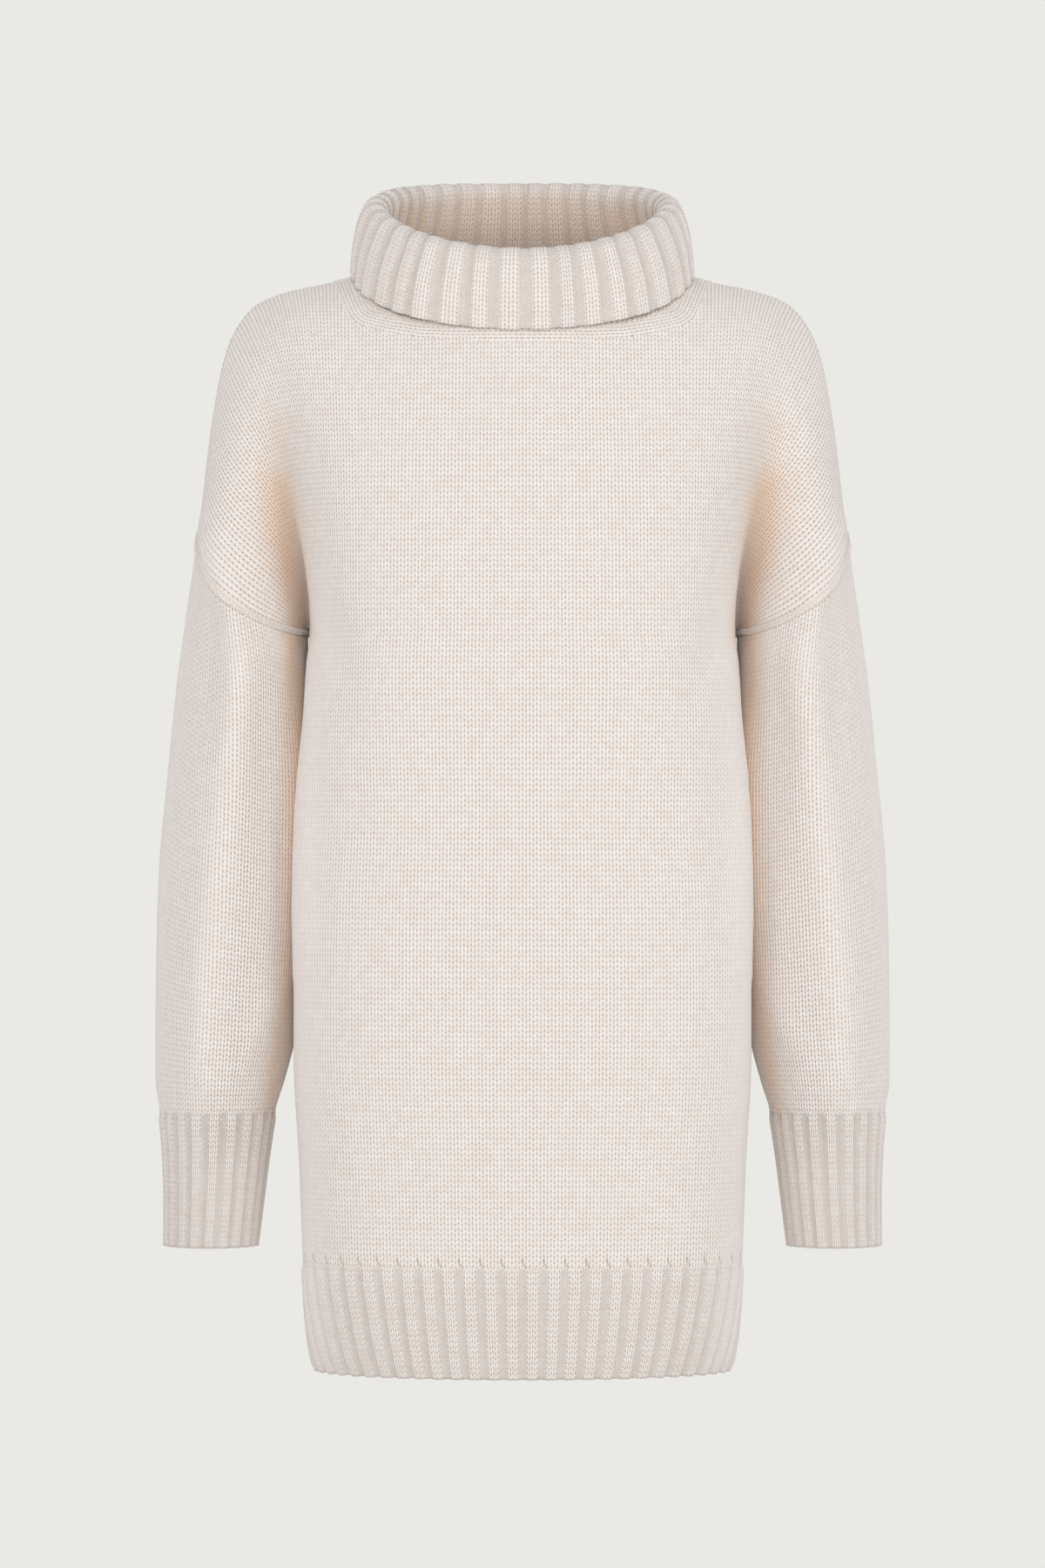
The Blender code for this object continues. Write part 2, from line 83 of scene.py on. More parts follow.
class Track:
    """A smooth curve through values at given keys, which never swings past them."""

    def __init__(self, keys: np.ndarray, values: np.ndarray) -> None:
        """Fit the curve.

        Args:
            keys: Rising keys.
            values: One row of values for each key.
        """
        self.keys = np.asarray(keys, float)
        self.values = np.asarray(values, float).reshape(len(self.keys), -1)
        self.gaps = np.diff(self.keys)[:, None]
        rise = np.diff(self.values, axis=0) / self.gaps
        agree = rise[1:] * rise[:-1] > 0
        total = np.where(agree, rise[1:] + rise[:-1], 1.0)
        inner = np.where(agree, 2 * rise[1:] * rise[:-1] / total, 0.0)
        self.slopes = np.vstack([rise[:1], inner, rise[-1:]])

    @classmethod
    def of(cls, table: Rows) -> "Track":
        """A curve through a table's rows, keyed by their first number."""
        rows = np.array(sorted(table))
        return cls(rows[:, 0], rows[:, 1:])

    def at(self, where: np.ndarray | float) -> np.ndarray:
        """The values at each of the given keys, one row each."""
        where = np.clip(np.atleast_1d(np.asarray(where, float)), self.keys[0], self.keys[-1])
        span = np.clip(np.searchsorted(self.keys, where, side="right") - 1, 0, len(self.keys) - 2)
        gap = self.gaps[span]
        step = (where - self.keys[span])[:, None] / gap
        start = self.values[span] * (1 + 2 * step) * (1 - step) ** 2
        start += self.slopes[span] * gap * step * (1 - step) ** 2
        end = self.values[span + 1] * step**2 * (3 - 2 * step)
        end += self.slopes[span + 1] * gap * step**2 * (step - 1)
        return start + end


def unit(vectors: np.ndarray) -> np.ndarray:
    """Vectors of length one."""
    return vectors / np.maximum(np.linalg.norm(vectors, axis=-1, keepdims=True), 1e-12)


def lengths(points: np.ndarray) -> np.ndarray:
    """How far along a polyline each of its points lies; works on grids along their first axis."""
    steps = np.linalg.norm(np.diff(points, axis=0), axis=-1)
    return np.concatenate([np.zeros_like(steps[:1]), np.cumsum(steps, axis=0)])


def sample(where: np.ndarray, keys: np.ndarray, points: np.ndarray) -> np.ndarray:
    """Points of a polyline at the given keys."""
    return np.stack([np.interp(where, keys, points[:, axis]) for axis in range(3)], axis=1)


def resample(points: np.ndarray, shares: np.ndarray) -> np.ndarray:
    """Points at the given shares of a polyline's length."""
    run = lengths(points)
    return sample(np.asarray(shares) * run[-1], run, points)


def smooth_step(low: float, high: float, value: np.ndarray | float) -> np.ndarray:
    """A soft step from 0 at low to 1 at high."""
    step = np.clip((value - low) / (high - low), 0.0, 1.0)
    return step * step * (3 - 2 * step)


def seam_dip(distance: np.ndarray | float) -> np.ndarray:
    """How far the cloth sinks towards a seam, by its distance from it."""
    return -SEAM_DIP * np.exp(-((distance / SEAM_REACH) ** 2))


def segment_gap(places: np.ndarray, start: tuple, end: tuple) -> tuple[np.ndarray, np.ndarray]:
    """How far places lie from a segment, and how far along it the nearest point is."""
    first, last = np.array(start), np.array(end)
    along = last - first
    share = np.clip((places - first) @ along / (along @ along), 0.0, 1.0)
    return np.linalg.norm(places - first - share[:, None] * along, axis=1), share


def link(name: str, data: bpy.types.ID) -> bpy.types.Object:
    """A new object in the scene."""
    thing = bpy.data.objects.new(name, data)
    bpy.context.scene.collection.objects.link(thing)
    return thing


@dataclass(frozen=True)
class Ring:
    """A tilted oval round the neck: half its width, its reach ahead and behind, and its heights.

    Between its front and its sides it may sag, and flare out by a share of its size.
    """

    wide: float
    ahead: float
    behind: float
    front_z: float
    side_z: float
    back_z: float
    sag: float = 0.0
    flare: float = 0.0

    def points(self, angle: np.ndarray) -> np.ndarray:
        """Points of the oval; angle is 0 at the front and pi at the back."""
        facing = np.cos(angle)
        depth = np.where(facing > 0, self.ahead, self.behind)
        slope = (self.front_z - self.back_z) / 2
        bow = (self.front_z + self.back_z) / 2 - self.side_z
        corner = np.where(facing > 0, np.sin(2 * angle) ** 2, 0.0)
        height = self.side_z + slope * facing + bow * facing**2 - self.sag * corner
        spread = 1 + self.flare * corner
        return np.stack([self.wide * np.sin(angle) * spread, -depth * facing * spread, height], axis=1)


@dataclass(frozen=True)
class Crease:
    """A soft ridge or trough on one side, on both arms: its ends as x and z, and its lift."""

    side: Side
    start: tuple[float, float]
    end: tuple[float, float]
    lift: float
    width: float
    turn: float = 0.02
    end_share: float = 0.3

    def at(self, points: np.ndarray) -> np.ndarray:
        """How far the crease moves each point out."""
        flat = np.stack([np.abs(points[:, 0]), points[:, 2]], axis=1)
        gap, share = segment_gap(flat, self.start, self.end)
        facing = smooth_step(0.0, self.turn, points[:, 1] * self.side.value)
        fade = self.end_share + (1 - self.end_share) * np.sin(math.pi * share)
        return self.lift * facing * np.exp(-((gap / self.width) ** 2)) * fade


CREASES = tuple(Crease(side, row[:2], row[2:4], *row[4:]) for side, rows in (
    (Side.FRONT, (
        (0.228, -0.170, 0.196, -0.275, 0.0048, 0.011),
        (0.196, -0.265, 0.208, -0.370, 0.0046, 0.012),
        (0.208, -0.350, 0.224, -0.500, 0.0038, 0.014),
        (0.224, -0.480, 0.226, -0.590, 0.0030, 0.013),
        (0.216, -0.225, 0.226, -0.330, -0.0034, 0.010),
        (0.180, -0.290, 0.176, -0.430, -0.0030, 0.013),
        (0.172, -0.500, 0.206, -0.572, 0.0030, 0.011),
        (0.156, -0.275, 0.157, -0.490, 0.0050, 0.009),
        (0.118, -0.310, 0.150, -0.215, -0.0032, 0.016),
        (0.062, -0.600, 0.086, -0.745, -0.0016, 0.022),
        (0.000, -0.620, 0.012, -0.765, 0.0012, 0.028),
    )),
    (Side.BACK, (
        (0.222, -0.180, 0.198, -0.290, 0.0030, 0.012),
        (0.198, -0.280, 0.214, -0.410, 0.0042, 0.013),
        (0.156, -0.275, 0.157, -0.490, 0.0040, 0.009),
        (0.172, -0.360, 0.206, -0.430, -0.0034, 0.011),
        (0.176, -0.450, 0.212, -0.530, -0.0028, 0.010),
        (0.100, -0.330, 0.146, -0.232, -0.0026, 0.017),
        (0.070, -0.390, 0.020, -0.560, 0.0022, 0.030),
        (0.112, -0.520, 0.074, -0.700, -0.0020, 0.022),
    )),
) for row in rows)


@dataclass(frozen=True)
class Stretches:
    """Stretches of cloth on both arms or sides, in front and behind, that a mark is strong along.

    A row holds the stretch's two ends, each as x, y and z, then its reach and its strength.
    """

    rows: Rows

    def at(self, points: np.ndarray) -> np.ndarray:
        """How strongly any of the stretches marks each point; above the shoulders none does."""
        marks = []
        for row in self.rows:
            gap, _ = segment_gap(np.abs(points) * (1, 1, -1), row[:3], row[3:6])
            marks.append(row[7] * np.exp(-((gap / row[6]) ** 2)))
        return np.where(points[:, 2] < 0, np.max(marks, axis=0), 0.0)


# Painted shade: dim, warm wool in the valleys between the arms and the body, down the sleeves' inner
# sides, where shade falls.
NOOKS = Stretches((
    (0.174, 0.050, -0.110, 0.172, 0.040, -0.150, 0.014, 0.30),
    (0.172, 0.037, -0.150, 0.161, 0.020, -0.250, 0.018, 0.80),
    (0.160, 0.032, -0.255, 0.157, 0.036, -0.460, 0.014, 0.70),
    (0.157, 0.036, -0.460, 0.172, 0.036, -0.585, 0.014, 0.60),
))
# Painted sheen: lighter, cooler bands with flattened stitches down the body's sides and along and down
# the sleeves, where the cloth turns aside.
PAINTED_SHEEN = Stretches((
    (0.150, 0.060, -0.240, 0.156, 0.060, -0.760, 0.026, 0.90),
    (0.236, 0.040, -0.165, 0.196, 0.062, -0.285, 0.012, 0.70),
    (0.196, 0.062, -0.285, 0.208, 0.062, -0.370, 0.012, 0.55),
    (0.208, 0.062, -0.370, 0.226, 0.056, -0.580, 0.012, 0.50),
    (0.248, 0.020, -0.240, 0.257, 0.020, -0.590, 0.016, 0.55),
))
# Painted shade: deeper, darker stitch dots on the upper arms and down the sleeves.
PAINTED_DOT_SHADE = Stretches((
    (0.205, 0.060, -0.130, 0.186, 0.060, -0.250, 0.030, 0.55),
    (0.180, 0.060, -0.290, 0.200, 0.056, -0.600, 0.028, 1.00),
))


@dataclass
class Body:
    """The worn form of the body, shoulders and neck seam.

    A row of torso is a level section: its height, half its width, its reach in front and behind,
    how far the arm presses its side in, and its squareness. A row of chest_arc is a wale and its
    share of the quarter section at armpit height. A row of shoulder is a wale, and how far out
    and how high it meets the shoulder line. A row of handles says how a wale leaves the armpit
    height (rise, out, ahead) and arrives at the shoulder line or neck (depth, level, inset).
    """

    hem: float = -0.7745
    armpit: float = -0.2540
    armpit_wales: int = 60
    neck_wales: int = 24
    tuck_reach: float = 0.034
    mitre: tuple[float, float] = (0.50, 0.33)
    torso: Rows = (
        (-0.7745, 0.1462, 0.111, 0.113, 0.006, 2.15),
        (-0.7660, 0.1492, 0.113, 0.115, 0.007, 2.20),
        (-0.7350, 0.1526, 0.117, 0.121, 0.012, 2.45),
        (-0.6960, 0.1548, 0.121, 0.125, 0.016, 2.7),
        (-0.6300, 0.1572, 0.122, 0.127, 0.018, 2.7),
        (-0.5500, 0.1612, 0.122, 0.127, 0.022, 2.7),
        (-0.4600, 0.1598, 0.121, 0.121, 0.026, 2.7),
        (-0.3600, 0.1548, 0.120, 0.116, 0.024, 2.7),
        (-0.3000, 0.1518, 0.120, 0.115, 0.016, 2.7),
        (-0.2540, 0.1520, 0.119, 0.115, 0.002, 2.7),
    )
    chest_arc: Rows = ((0, 0.0), (34, 0.735), (44, 0.905), (60, 1.0))
    shoulder: Rows = (
        (24.0, 0.1170, 0.0020), (28.0, 0.1395, -0.0035), (33.0, 0.1670, -0.0093),
        (37.0, 0.1890, -0.0178), (40.4, 0.2034, -0.0340), (43.5, 0.2118, -0.0525),
        (47.5, 0.2182, -0.0805), (52.5, 0.2235, -0.1160), (57.0, 0.2272, -0.1510),
        (60.0, 0.2306, -0.1800),
    )
    handles: Rows = (
        (0, 0.085, 0.000, 0.000, 0.104, -0.098, 0.000),
        (12, 0.088, 0.000, 0.000, 0.101, -0.088, 0.000),
        (20, 0.100, 0.001, 0.000, 0.092, -0.050, 0.000),
        (26, 0.112, 0.002, 0.001, 0.086, -0.018, 0.000),
        (33, 0.118, 0.002, 0.004, 0.084, -0.022, 0.006),
        (40, 0.122, 0.003, 0.012, 0.080, -0.072, 0.022),
        (46, 0.120, -0.003, 0.000, 0.083, -0.138, 0.016),
        (52, 0.090, 0.000, 0.006, 0.088, -0.186, 0.008),
        (56, 0.046, 0.010, 0.044, 0.090, -0.208, 0.003),
        (60, 0.004, 0.022, 0.088, 0.090, -0.236, 0.000),
    )
    neck: Ring = Ring(0.1170, 0.0850, 0.0780, -0.0370, 0.0020, 0.0080)

    def __post_init__(self) -> None:
        """Fit the curves through the tables."""
        self.torso_track = Track.of(self.torso)
        self.chest_track = Track.of(self.chest_arc)
        self.shoulder_track = Track.of(self.shoulder)
        self.handle_track = Track.of(self.handles)

    def quarter(self, height: float, side: Side) -> np.ndarray:
        """Fine points from the centre line round to the side seam, at one height."""
        half_width, front, back, tuck, squareness = self.torso_track.at(height)[0]
        depth = front if side is Side.FRONT else back
        angle = np.linspace(0, math.pi / 2, 241)
        y = np.cos(angle) ** (2 / squareness) * depth
        pressed = tuck * np.exp(-((y / self.tuck_reach) ** 2))
        x = np.sin(angle) ** (2 / squareness) * half_width - pressed
        x *= half_width / x.max()
        return np.stack([x, side.value * y, np.full_like(x, height)], axis=1)

    def neck_mitre(self, angle: np.ndarray) -> np.ndarray:
        """The direction across the cloth's thickness at the neck seam, pointing outside."""
        facing = np.cos(angle)
        outwards = self.mitre[0] + self.mitre[1] * facing**2
        radial = unit(np.stack([np.sin(angle) / self.neck.wide, -facing / self.neck.ahead], axis=1))
        return unit(np.column_stack([radial * outwards[:, None], np.sqrt(1 - outwards**2)]))

    def neck_angle(self, shares: np.ndarray, side: Side) -> np.ndarray:
        """The angle round the neck seam at shares of its half width."""
        angle = np.arcsin(np.clip(shares, 0, 1))
        return angle if side is Side.FRONT else math.pi - angle

    def wale_ends(self, wales: np.ndarray, side: Side) -> np.ndarray:
        """Where each wale stops: on the neck seam or on the shoulder line."""
        ends = self.neck.points(self.neck_angle(wales / self.neck_wales, side))
        beyond = wales >= self.neck_wales
        out, height = self.shoulder_track.at(wales[beyond]).T
        ends[beyond] = np.stack([out, np.zeros_like(out), height], axis=1)
        return ends

    def wale_curves(self, wales: np.ndarray, side: Side, steps: np.ndarray) -> np.ndarray:
        """Points [step, wale] of the wales above the armpit, each a cubic between its two ends."""
        start = resample(self.quarter(self.armpit, side), self.chest_track.at(wales)[:, 0])
        end = self.wale_ends(wales, side)
        rise, out, ahead, depth, level, inset = self.handle_track.at(wales).T
        leave = start + np.stack([out, side.value * ahead, rise], axis=1)
        lift = end[:, 2] - self.wale_ends(wales, Side.FRONT)[:, 2]
        arrive = np.stack([end[:, 0] - inset, side.value * depth, level + lift], axis=1)
        t = np.asarray(steps)[:, None, None]
        near = (1 - t) ** 3 * start + 3 * (1 - t) ** 2 * t * leave
        return near + 3 * (1 - t) * t**2 * arrive + t**3 * end

    def armhole(self, side: Side, steps: np.ndarray) -> np.ndarray:
        """Points of the armhole seam from under the arm to the shoulder line."""
        return self.wale_curves(np.array([self.armpit_wales - 0.001]), side, steps)[:, 0]


@dataclass(frozen=True)
class Stitches:
    """Heights of the knitted surface, in metres, from the place of each point in its stitch."""

    ridge: float = 0.00042
    ridge_share: float = 0.6
    slant: float = 1.40
    rib_relief: float = 0.0016
    rib_repeat: float = 4.0
    rib_flat: float = 0.90
    rib_foot: float = 1.60
    rib_purl_from: float = 0.70

    def lean(self, wale: float) -> float:
        """How many courses the legs of a stitch rise from its middle to a place across it."""
        return self.slant * abs(2 * (wale % 1.0) - 1)

    def plain(self, wale: float, courses: np.ndarray) -> np.ndarray:
        """Legs of a knit stitch: two steep strands, with a dotted line on each side of them."""
        across = math.sin(math.pi * abs(2 * (wale % 1.0) - 1))
        along = np.sin(math.pi * np.mod(courses - self.lean(wale), 1.0)) ** 2
        return self.ridge * across * (self.ridge_share + (1 - self.ridge_share) * along)

    def rib_reach(self, wale: float) -> float:
        """How many wales a place lies from the middle of its rib."""
        return abs(wale % self.rib_repeat - self.rib_repeat / 2)

    def purl(self, wale: float) -> float:
        """1 on the two purl wales of a rib, 0 on its two knit wales and a half between them."""
        return min(max(self.rib_reach(wale) - self.rib_purl_from, 0.0), 1.0)

    def rib(self, wale: float, courses: np.ndarray, fade: np.ndarray) -> np.ndarray:
        """How far a rib's points stand out, with the legs of its knit stitches, by its share."""
        reach = self.rib_reach(wale)
        lift = self.rib_relief * (1 - smooth_step(self.rib_flat, self.rib_foot, reach))
        return lift * fade + self.plain(wale, courses) * (1 - self.purl(wale) * fade)


STITCHES = Stitches()


@dataclass
class Line:
    """A row of points of a skin, in order; places are their wales and courses."""

    keys: list[float]
    index: list[int]
    places: list[tuple[float, float]]

    @classmethod
    def across(cls, ends: list[tuple]) -> "Line":
        """A line along a row, from a key, a point and a place at the end of each line."""
        return cls(*map(list, zip(*ends)))

    def shifted(self, wales: float) -> "Line":
        """The same points, with their wales counted on by a whole round."""
        return Line(self.keys, self.index, [(u + wales, v) for u, v in self.places])

    def above(self, key: float) -> "Line":
        """The part of the line from just below a key up."""
        first = max(int(np.searchsorted(self.keys, key)) - 1, 0)
        return Line(self.keys[first:], self.index[first:], self.places[first:])

    def pick(self, which: int) -> tuple[int, tuple[float, float]]:
        """One point's index and place."""
        return self.index[which], self.places[which]


class Skin:
    """One side of a wall: points, triangles, and the stitch place of each triangle's corners."""

    def __init__(self) -> None:
        """Start with no points."""
        self.points: list[np.ndarray] = []
        self.marks: list[np.ndarray] = []
        self.faces: list[tuple[int, ...]] = []
        self.corners: list[tuple] = []
        self.count = 0

    def add(self, keys: np.ndarray, points: np.ndarray, wale: float, courses: np.ndarray,
            raised: Mark, purl: Mark, warm: Mark = 0.0) -> Line:
        """Add points in a line.

        Args:
            keys: Rising keys that order the line against its neighbours.
            points: Points of the plain form.
            wale: The wale that the line lies on.
            courses: The course at each point.
            raised: How far each point stands out of the plain form.
            purl: 0 on knit stitches and 1 on purl stitches.
            warm: How much painted shade, dim and warm, each point gets, as in a fold.

        Returns:
            The line, ready to join to its neighbours.
        """
        marks = [np.broadcast_to(mark, len(points)) for mark in (raised, purl, warm, 0.0)]
        self.points.append(points)
        self.marks.append(np.stack(marks, axis=1))
        index = list(range(self.count, self.count + len(points)))
        self.count += len(points)
        return Line(keys.tolist(), index, [(float(wale), course) for course in courses.tolist()])

    def join(self, one: Line, other: Line, flip: bool) -> None:
        """Fill the strip between two lines with triangles, however many points each has."""
        i = j = 0
        last_i, last_j = len(one.keys) - 1, len(other.keys) - 1
        while i < last_i or j < last_j:
            ends = [one.pick(i), other.pick(j)]
            if j == last_j or (i < last_i and one.keys[i + 1] <= other.keys[j + 1] + NEAR):
                i += 1
                ends.append(one.pick(i))
            else:
                j += 1
                ends.append(other.pick(j))
            face, corner = zip(*(ends[::-1] if flip else ends))
            self.faces.append(face)
            self.corners.append(corner)

    def join_all(self, lines: list[Line], flip: bool) -> None:
        """Fill the strips between lines that follow each other."""
        for one, other in zip(lines, lines[1:]):
            self.join(one, other, flip)

    def freeze(self) -> "Sheet":
        """The finished skin as arrays."""
        points, marks = np.concatenate(self.points), np.concatenate(self.marks)
        return Sheet(points, np.array(self.faces), np.array(self.corners), marks)


@dataclass
class Sheet:
    """A skin as arrays: points, triangles, wales and courses by corner, and marks by point.

    The marks are how far a point stands out, whether it is purl, how much painted shade, dim and warm,
    it gets, and how much painted sheen, lighter and cooler with flattened stitches; below 0, painted
    shade darkens and deepens its stitches' dots instead.
    """

    points: np.ndarray
    faces: np.ndarray
    corners: np.ndarray
    marks: np.ndarray

    def crosses(self) -> np.ndarray:
        """The normal of each triangle, twice as long as its area."""
        a, b, c = (self.points[self.faces[:, corner]] for corner in range(3))
        return np.cross(b - a, c - a)

    def normals(self) -> np.ndarray:
        """A unit normal at each point, from the triangles round it."""
        face, total = self.crosses(), np.zeros_like(self.points)
        for corner in range(3):
            np.add.at(total, self.faces[:, corner], face)
        return unit(total)

    def turned(self) -> "Sheet":
        """The sheet facing the other way."""
        return Sheet(self.points, self.faces[:, ::-1], self.corners[:, ::-1].copy(), self.marks)

    def mirror(self) -> "Sheet":
        """The mirror image in the plane x = 0, still facing out."""
        sheet = self.turned()
        sheet.corners[..., 0] *= -1
        sheet.points = self.points * MIRROR
        return sheet

    def with_sheet(self, other: "Sheet") -> "Sheet":
        """Both sheets as one."""
        moved = Sheet(other.points, other.faces + len(self.points), other.corners, other.marks)
        return Sheet(*(np.concatenate([getattr(sheet, kind) for sheet in (self, moved)])
                       for kind in ("points", "faces", "corners", "marks")))

    def welded(self) -> "Sheet":
        """The sheet with points at the same place made one."""
        rounded = np.round(self.points, 7)
        _, first, back = np.unique(rounded, axis=0, return_index=True, return_inverse=True)
        faces = back.reshape(-1)[self.faces]
        whole = (faces != np.roll(faces, 1, axis=1)).all(axis=1)
        return Sheet(self.points[first], faces[whole], self.corners[whole], self.marks[first])

    def folded(self) -> "Sheet":
        """The sheet with its creases pressed in, and its stretches of painted shade and painted sheen
        marked.
        """
        shift = np.sum([crease.at(self.points) for crease in CREASES], axis=0)
        marks = self.marks.copy()
        # Painted shade, dim and warm, in the valleys between the arms and the body.
        marks[:, 2] = np.maximum(marks[:, 2], NOOKS.at(self.points))
        # Positive where a painted sheen lies, negative where painted shade deepens the stitches' dots.
        marks[:, 3] = PAINTED_SHEEN.at(self.points) - PAINTED_DOT_SHADE.at(self.points)
        return Sheet(self.points + self.normals() * shift[:, None], self.faces, self.corners, marks)

    def edges(self) -> list[list[int]]:
        """The sheet's open edges, each as a loop of points."""
        sides = np.concatenate([self.faces[:, [0, 1]], self.faces[:, [1, 2]], self.faces[:, [2, 0]]])
        there, back = sides @ (len(self.points), 1), sides @ (1, len(self.points))
        following = dict(map(tuple, sides[~np.isin(there, back)].tolist()))
        loops = []
        while following:
            start, point = following.popitem()
            loop = [start]
            while point != start:
                loop.append(point)
                point = following.pop(point)
            loops.append(loop)
        return loops


def edge_strip(outer: Sheet, inner: Sheet) -> tuple[np.ndarray, np.ndarray]:
    """Triangles that close the edges between a wall's two skins.

    Args:
        outer: The outer skin.
        inner: The inner skin, built facing the same way, whose points count on from the outer's.

    Returns:
        The triangles and the stitch places of their corners.
    """
    both, offset = outer.with_sheet(inner), len(outer.points)
    places = np.zeros((len(both.points), 2))
    places[both.faces] = both.corners
    faces, inner_loops = [], inner.edges()
    for loop in outer.edges():
        line = outer.points[loop]
        gaps = [np.linalg.norm(inner.points[other] - line[0], axis=1) for other in inner_loops]
        which = int(np.argmin([gap.min() for gap in gaps]))
        begin = int(np.argmin(gaps[which]))
        other = inner_loops[which][begin:] + inner_loops[which][:begin]
        facing = inner.points[other]
        i = j = 0
        while i < len(loop) or j < len(other):
            a, b = loop[i % len(loop)], other[j % len(other)]
            next_a, next_b = (i + 1) % len(loop), (j + 1) % len(other)
            reach_a = reach_b = math.inf
            if i < len(loop):
                reach_a = np.linalg.norm(line[next_a] - facing[j % len(other)])
            if j < len(other):
                reach_b = np.linalg.norm(facing[next_b] - line[i % len(loop)])
            if reach_a <= reach_b:
                faces.append((loop[next_a], a, b + offset))
                i += 1
            else:
                faces.append((b + offset, other[next_b] + offset, a))
                j += 1
    return np.array(faces), places[np.array(faces)]


class Surface:
    """A sheet's plain form, which can be asked where it lies."""

    def __init__(self, sheet: Sheet) -> None:
        """Index the sheet's triangles."""
        self.tree = BVHTree.FromPolygons(sheet.points.tolist(), sheet.faces.tolist())

    def nearest(self, points: np.ndarray) -> np.ndarray:
        """The nearest places of the surface, and its normals there."""
        hits = [self.tree.find_nearest(point) for point in points.tolist()]
        return np.array([(hit[0], hit[1]) for hit in hits]).transpose(1, 0, 2)

    def seen(self, flat: np.ndarray, side: Side) -> np.ndarray:
        """Places and normals of the surface at pairs of x and z, seen level from one side."""
        found = []
        for x, z in flat.tolist():
            hit = self.tree.ray_cast((x, side.value, z), (0.0, -side.value, 0.0))
            if hit[0] is None:
                hit = self.tree.find_nearest((x, 0.0, z))
            found.append((hit[0], hit[1]))
        return np.array(found).transpose(1, 0, 2)


@dataclass(frozen=True)
class NeckBand:
    """The edge wales of a panel that follow the neckline, above the foot where its others end.

    A row of the foot is a point of it on the wearer's left, as x and z.
    """

    side: Side
    foot: Rows
    lift: float = 0.0008
    rise: float = 0.6
    step: float = 0.002

    def knit(self, sheet: Sheet, surface: Surface) -> None:
        """Turn the stitches between the foot and the neck seam along the neckline.

        Args:
            sheet: The panel's outer skin, before its stitches are raised.
            surface: The same skin as a surface.
        """
        foot_x, foot_z = np.array(self.foot).T
        places = sheet.points * np.where(sheet.points[:, :1] < 0, MIRROR, 1.0)
        above = (places[:, 0] < foot_x[-1]) & (places[:, 2] > np.interp(places[:, 0], foot_x, foot_z))
        out = np.arange(0, foot_x[-1], self.step)
        line, _ = surface.seen(np.stack([out, np.interp(out, foot_x, foot_z)], axis=1), self.side)
        run = lengths(line)
        gaps, shares = map(np.array, zip(*(
            segment_gap(places[above], one, other) for one, other in zip(line, line[1:])
        )))
        which = gaps.argmin(axis=0)
        nearest = which, np.arange(len(which))
        across, along = np.zeros((2, len(places)))
        across[above] = gaps[nearest]
        along[above] = run[which] + shares[nearest] * np.diff(run)[which]
        whole = above[sheet.faces].all(axis=1)
        sheet.corners[whole] = np.stack([across / WALE, along / COURSE], axis=1)[sheet.faces[whole]]
        raised = self.lift * smooth_step(0.0, self.rise, across[above] / WALE)
        sheet.marks[above, 0] = raised + np.minimum(sheet.marks[above, 0], 0.0)


FRONT_BAND = NeckBand(Side.FRONT, (
    (0.0, -0.0507), (0.0487, -0.0505), (0.0730, -0.0490), (0.0941, -0.0450), (0.1040, -0.0425),
    (0.1155, -0.0390), (0.1225, -0.0330), (0.1275, -0.0220), (0.1345, -0.0040),
))
BACK_BAND = NeckBand(Side.BACK, (
    (0.0, -0.0100), (0.0500, -0.0105), (0.0850, -0.0130), (0.1080, -0.0165), (0.1220, -0.0150),
    (0.1290, -0.0100), (0.1345, -0.0040),
))


@dataclass(frozen=True)
class Lattice:
    """How finely a piece is knitted: lines a wale, rows a course, and the inner skin's spacing."""

    wale_step: float = 0.25
    rows: int = 1
    inner_wales: float = 2.0
    inner_courses: float = 3.0
    spare: float = 0.3

    def wales(self, count: float, outer: bool) -> np.ndarray:
        """The wales that get a line on one skin, from 0 to a count."""
        return np.arange(0, count + 0.01, self.wale_step if outer else self.inner_wales)

    def courses(self, start: float, end: float, outer: bool,
                lean: float = 0.0) -> tuple[np.ndarray, np.ndarray]:
        """Courses of a line's points and their keys, with a point at each of its ends.

        Args:
            start: The course where the line starts.
            end: The course where it ends.
            outer: Whether it is a line of the outer skin, whose points follow the stitches.
            lean: How many courses its stitches lie above those of a stitch's middle.

        Returns:
            The courses, and the keys that match them with the neighbouring lines.
        """
        step = 1 / self.rows if outer else self.inner_courses
        offset = lean + 0.5 if outer else 0.0
        first = math.ceil((start - offset) / step + self.spare)
        last = math.floor((end - offset) / step - self.spare)
        keys = np.arange(first, last + 1) * step
        inside = np.concatenate([[start], keys + offset, [end]])
        return inside, np.concatenate([[start - offset], keys, [end - offset]])


LATTICE = Lattice()
FINE_LATTICE = Lattice(rows=2)


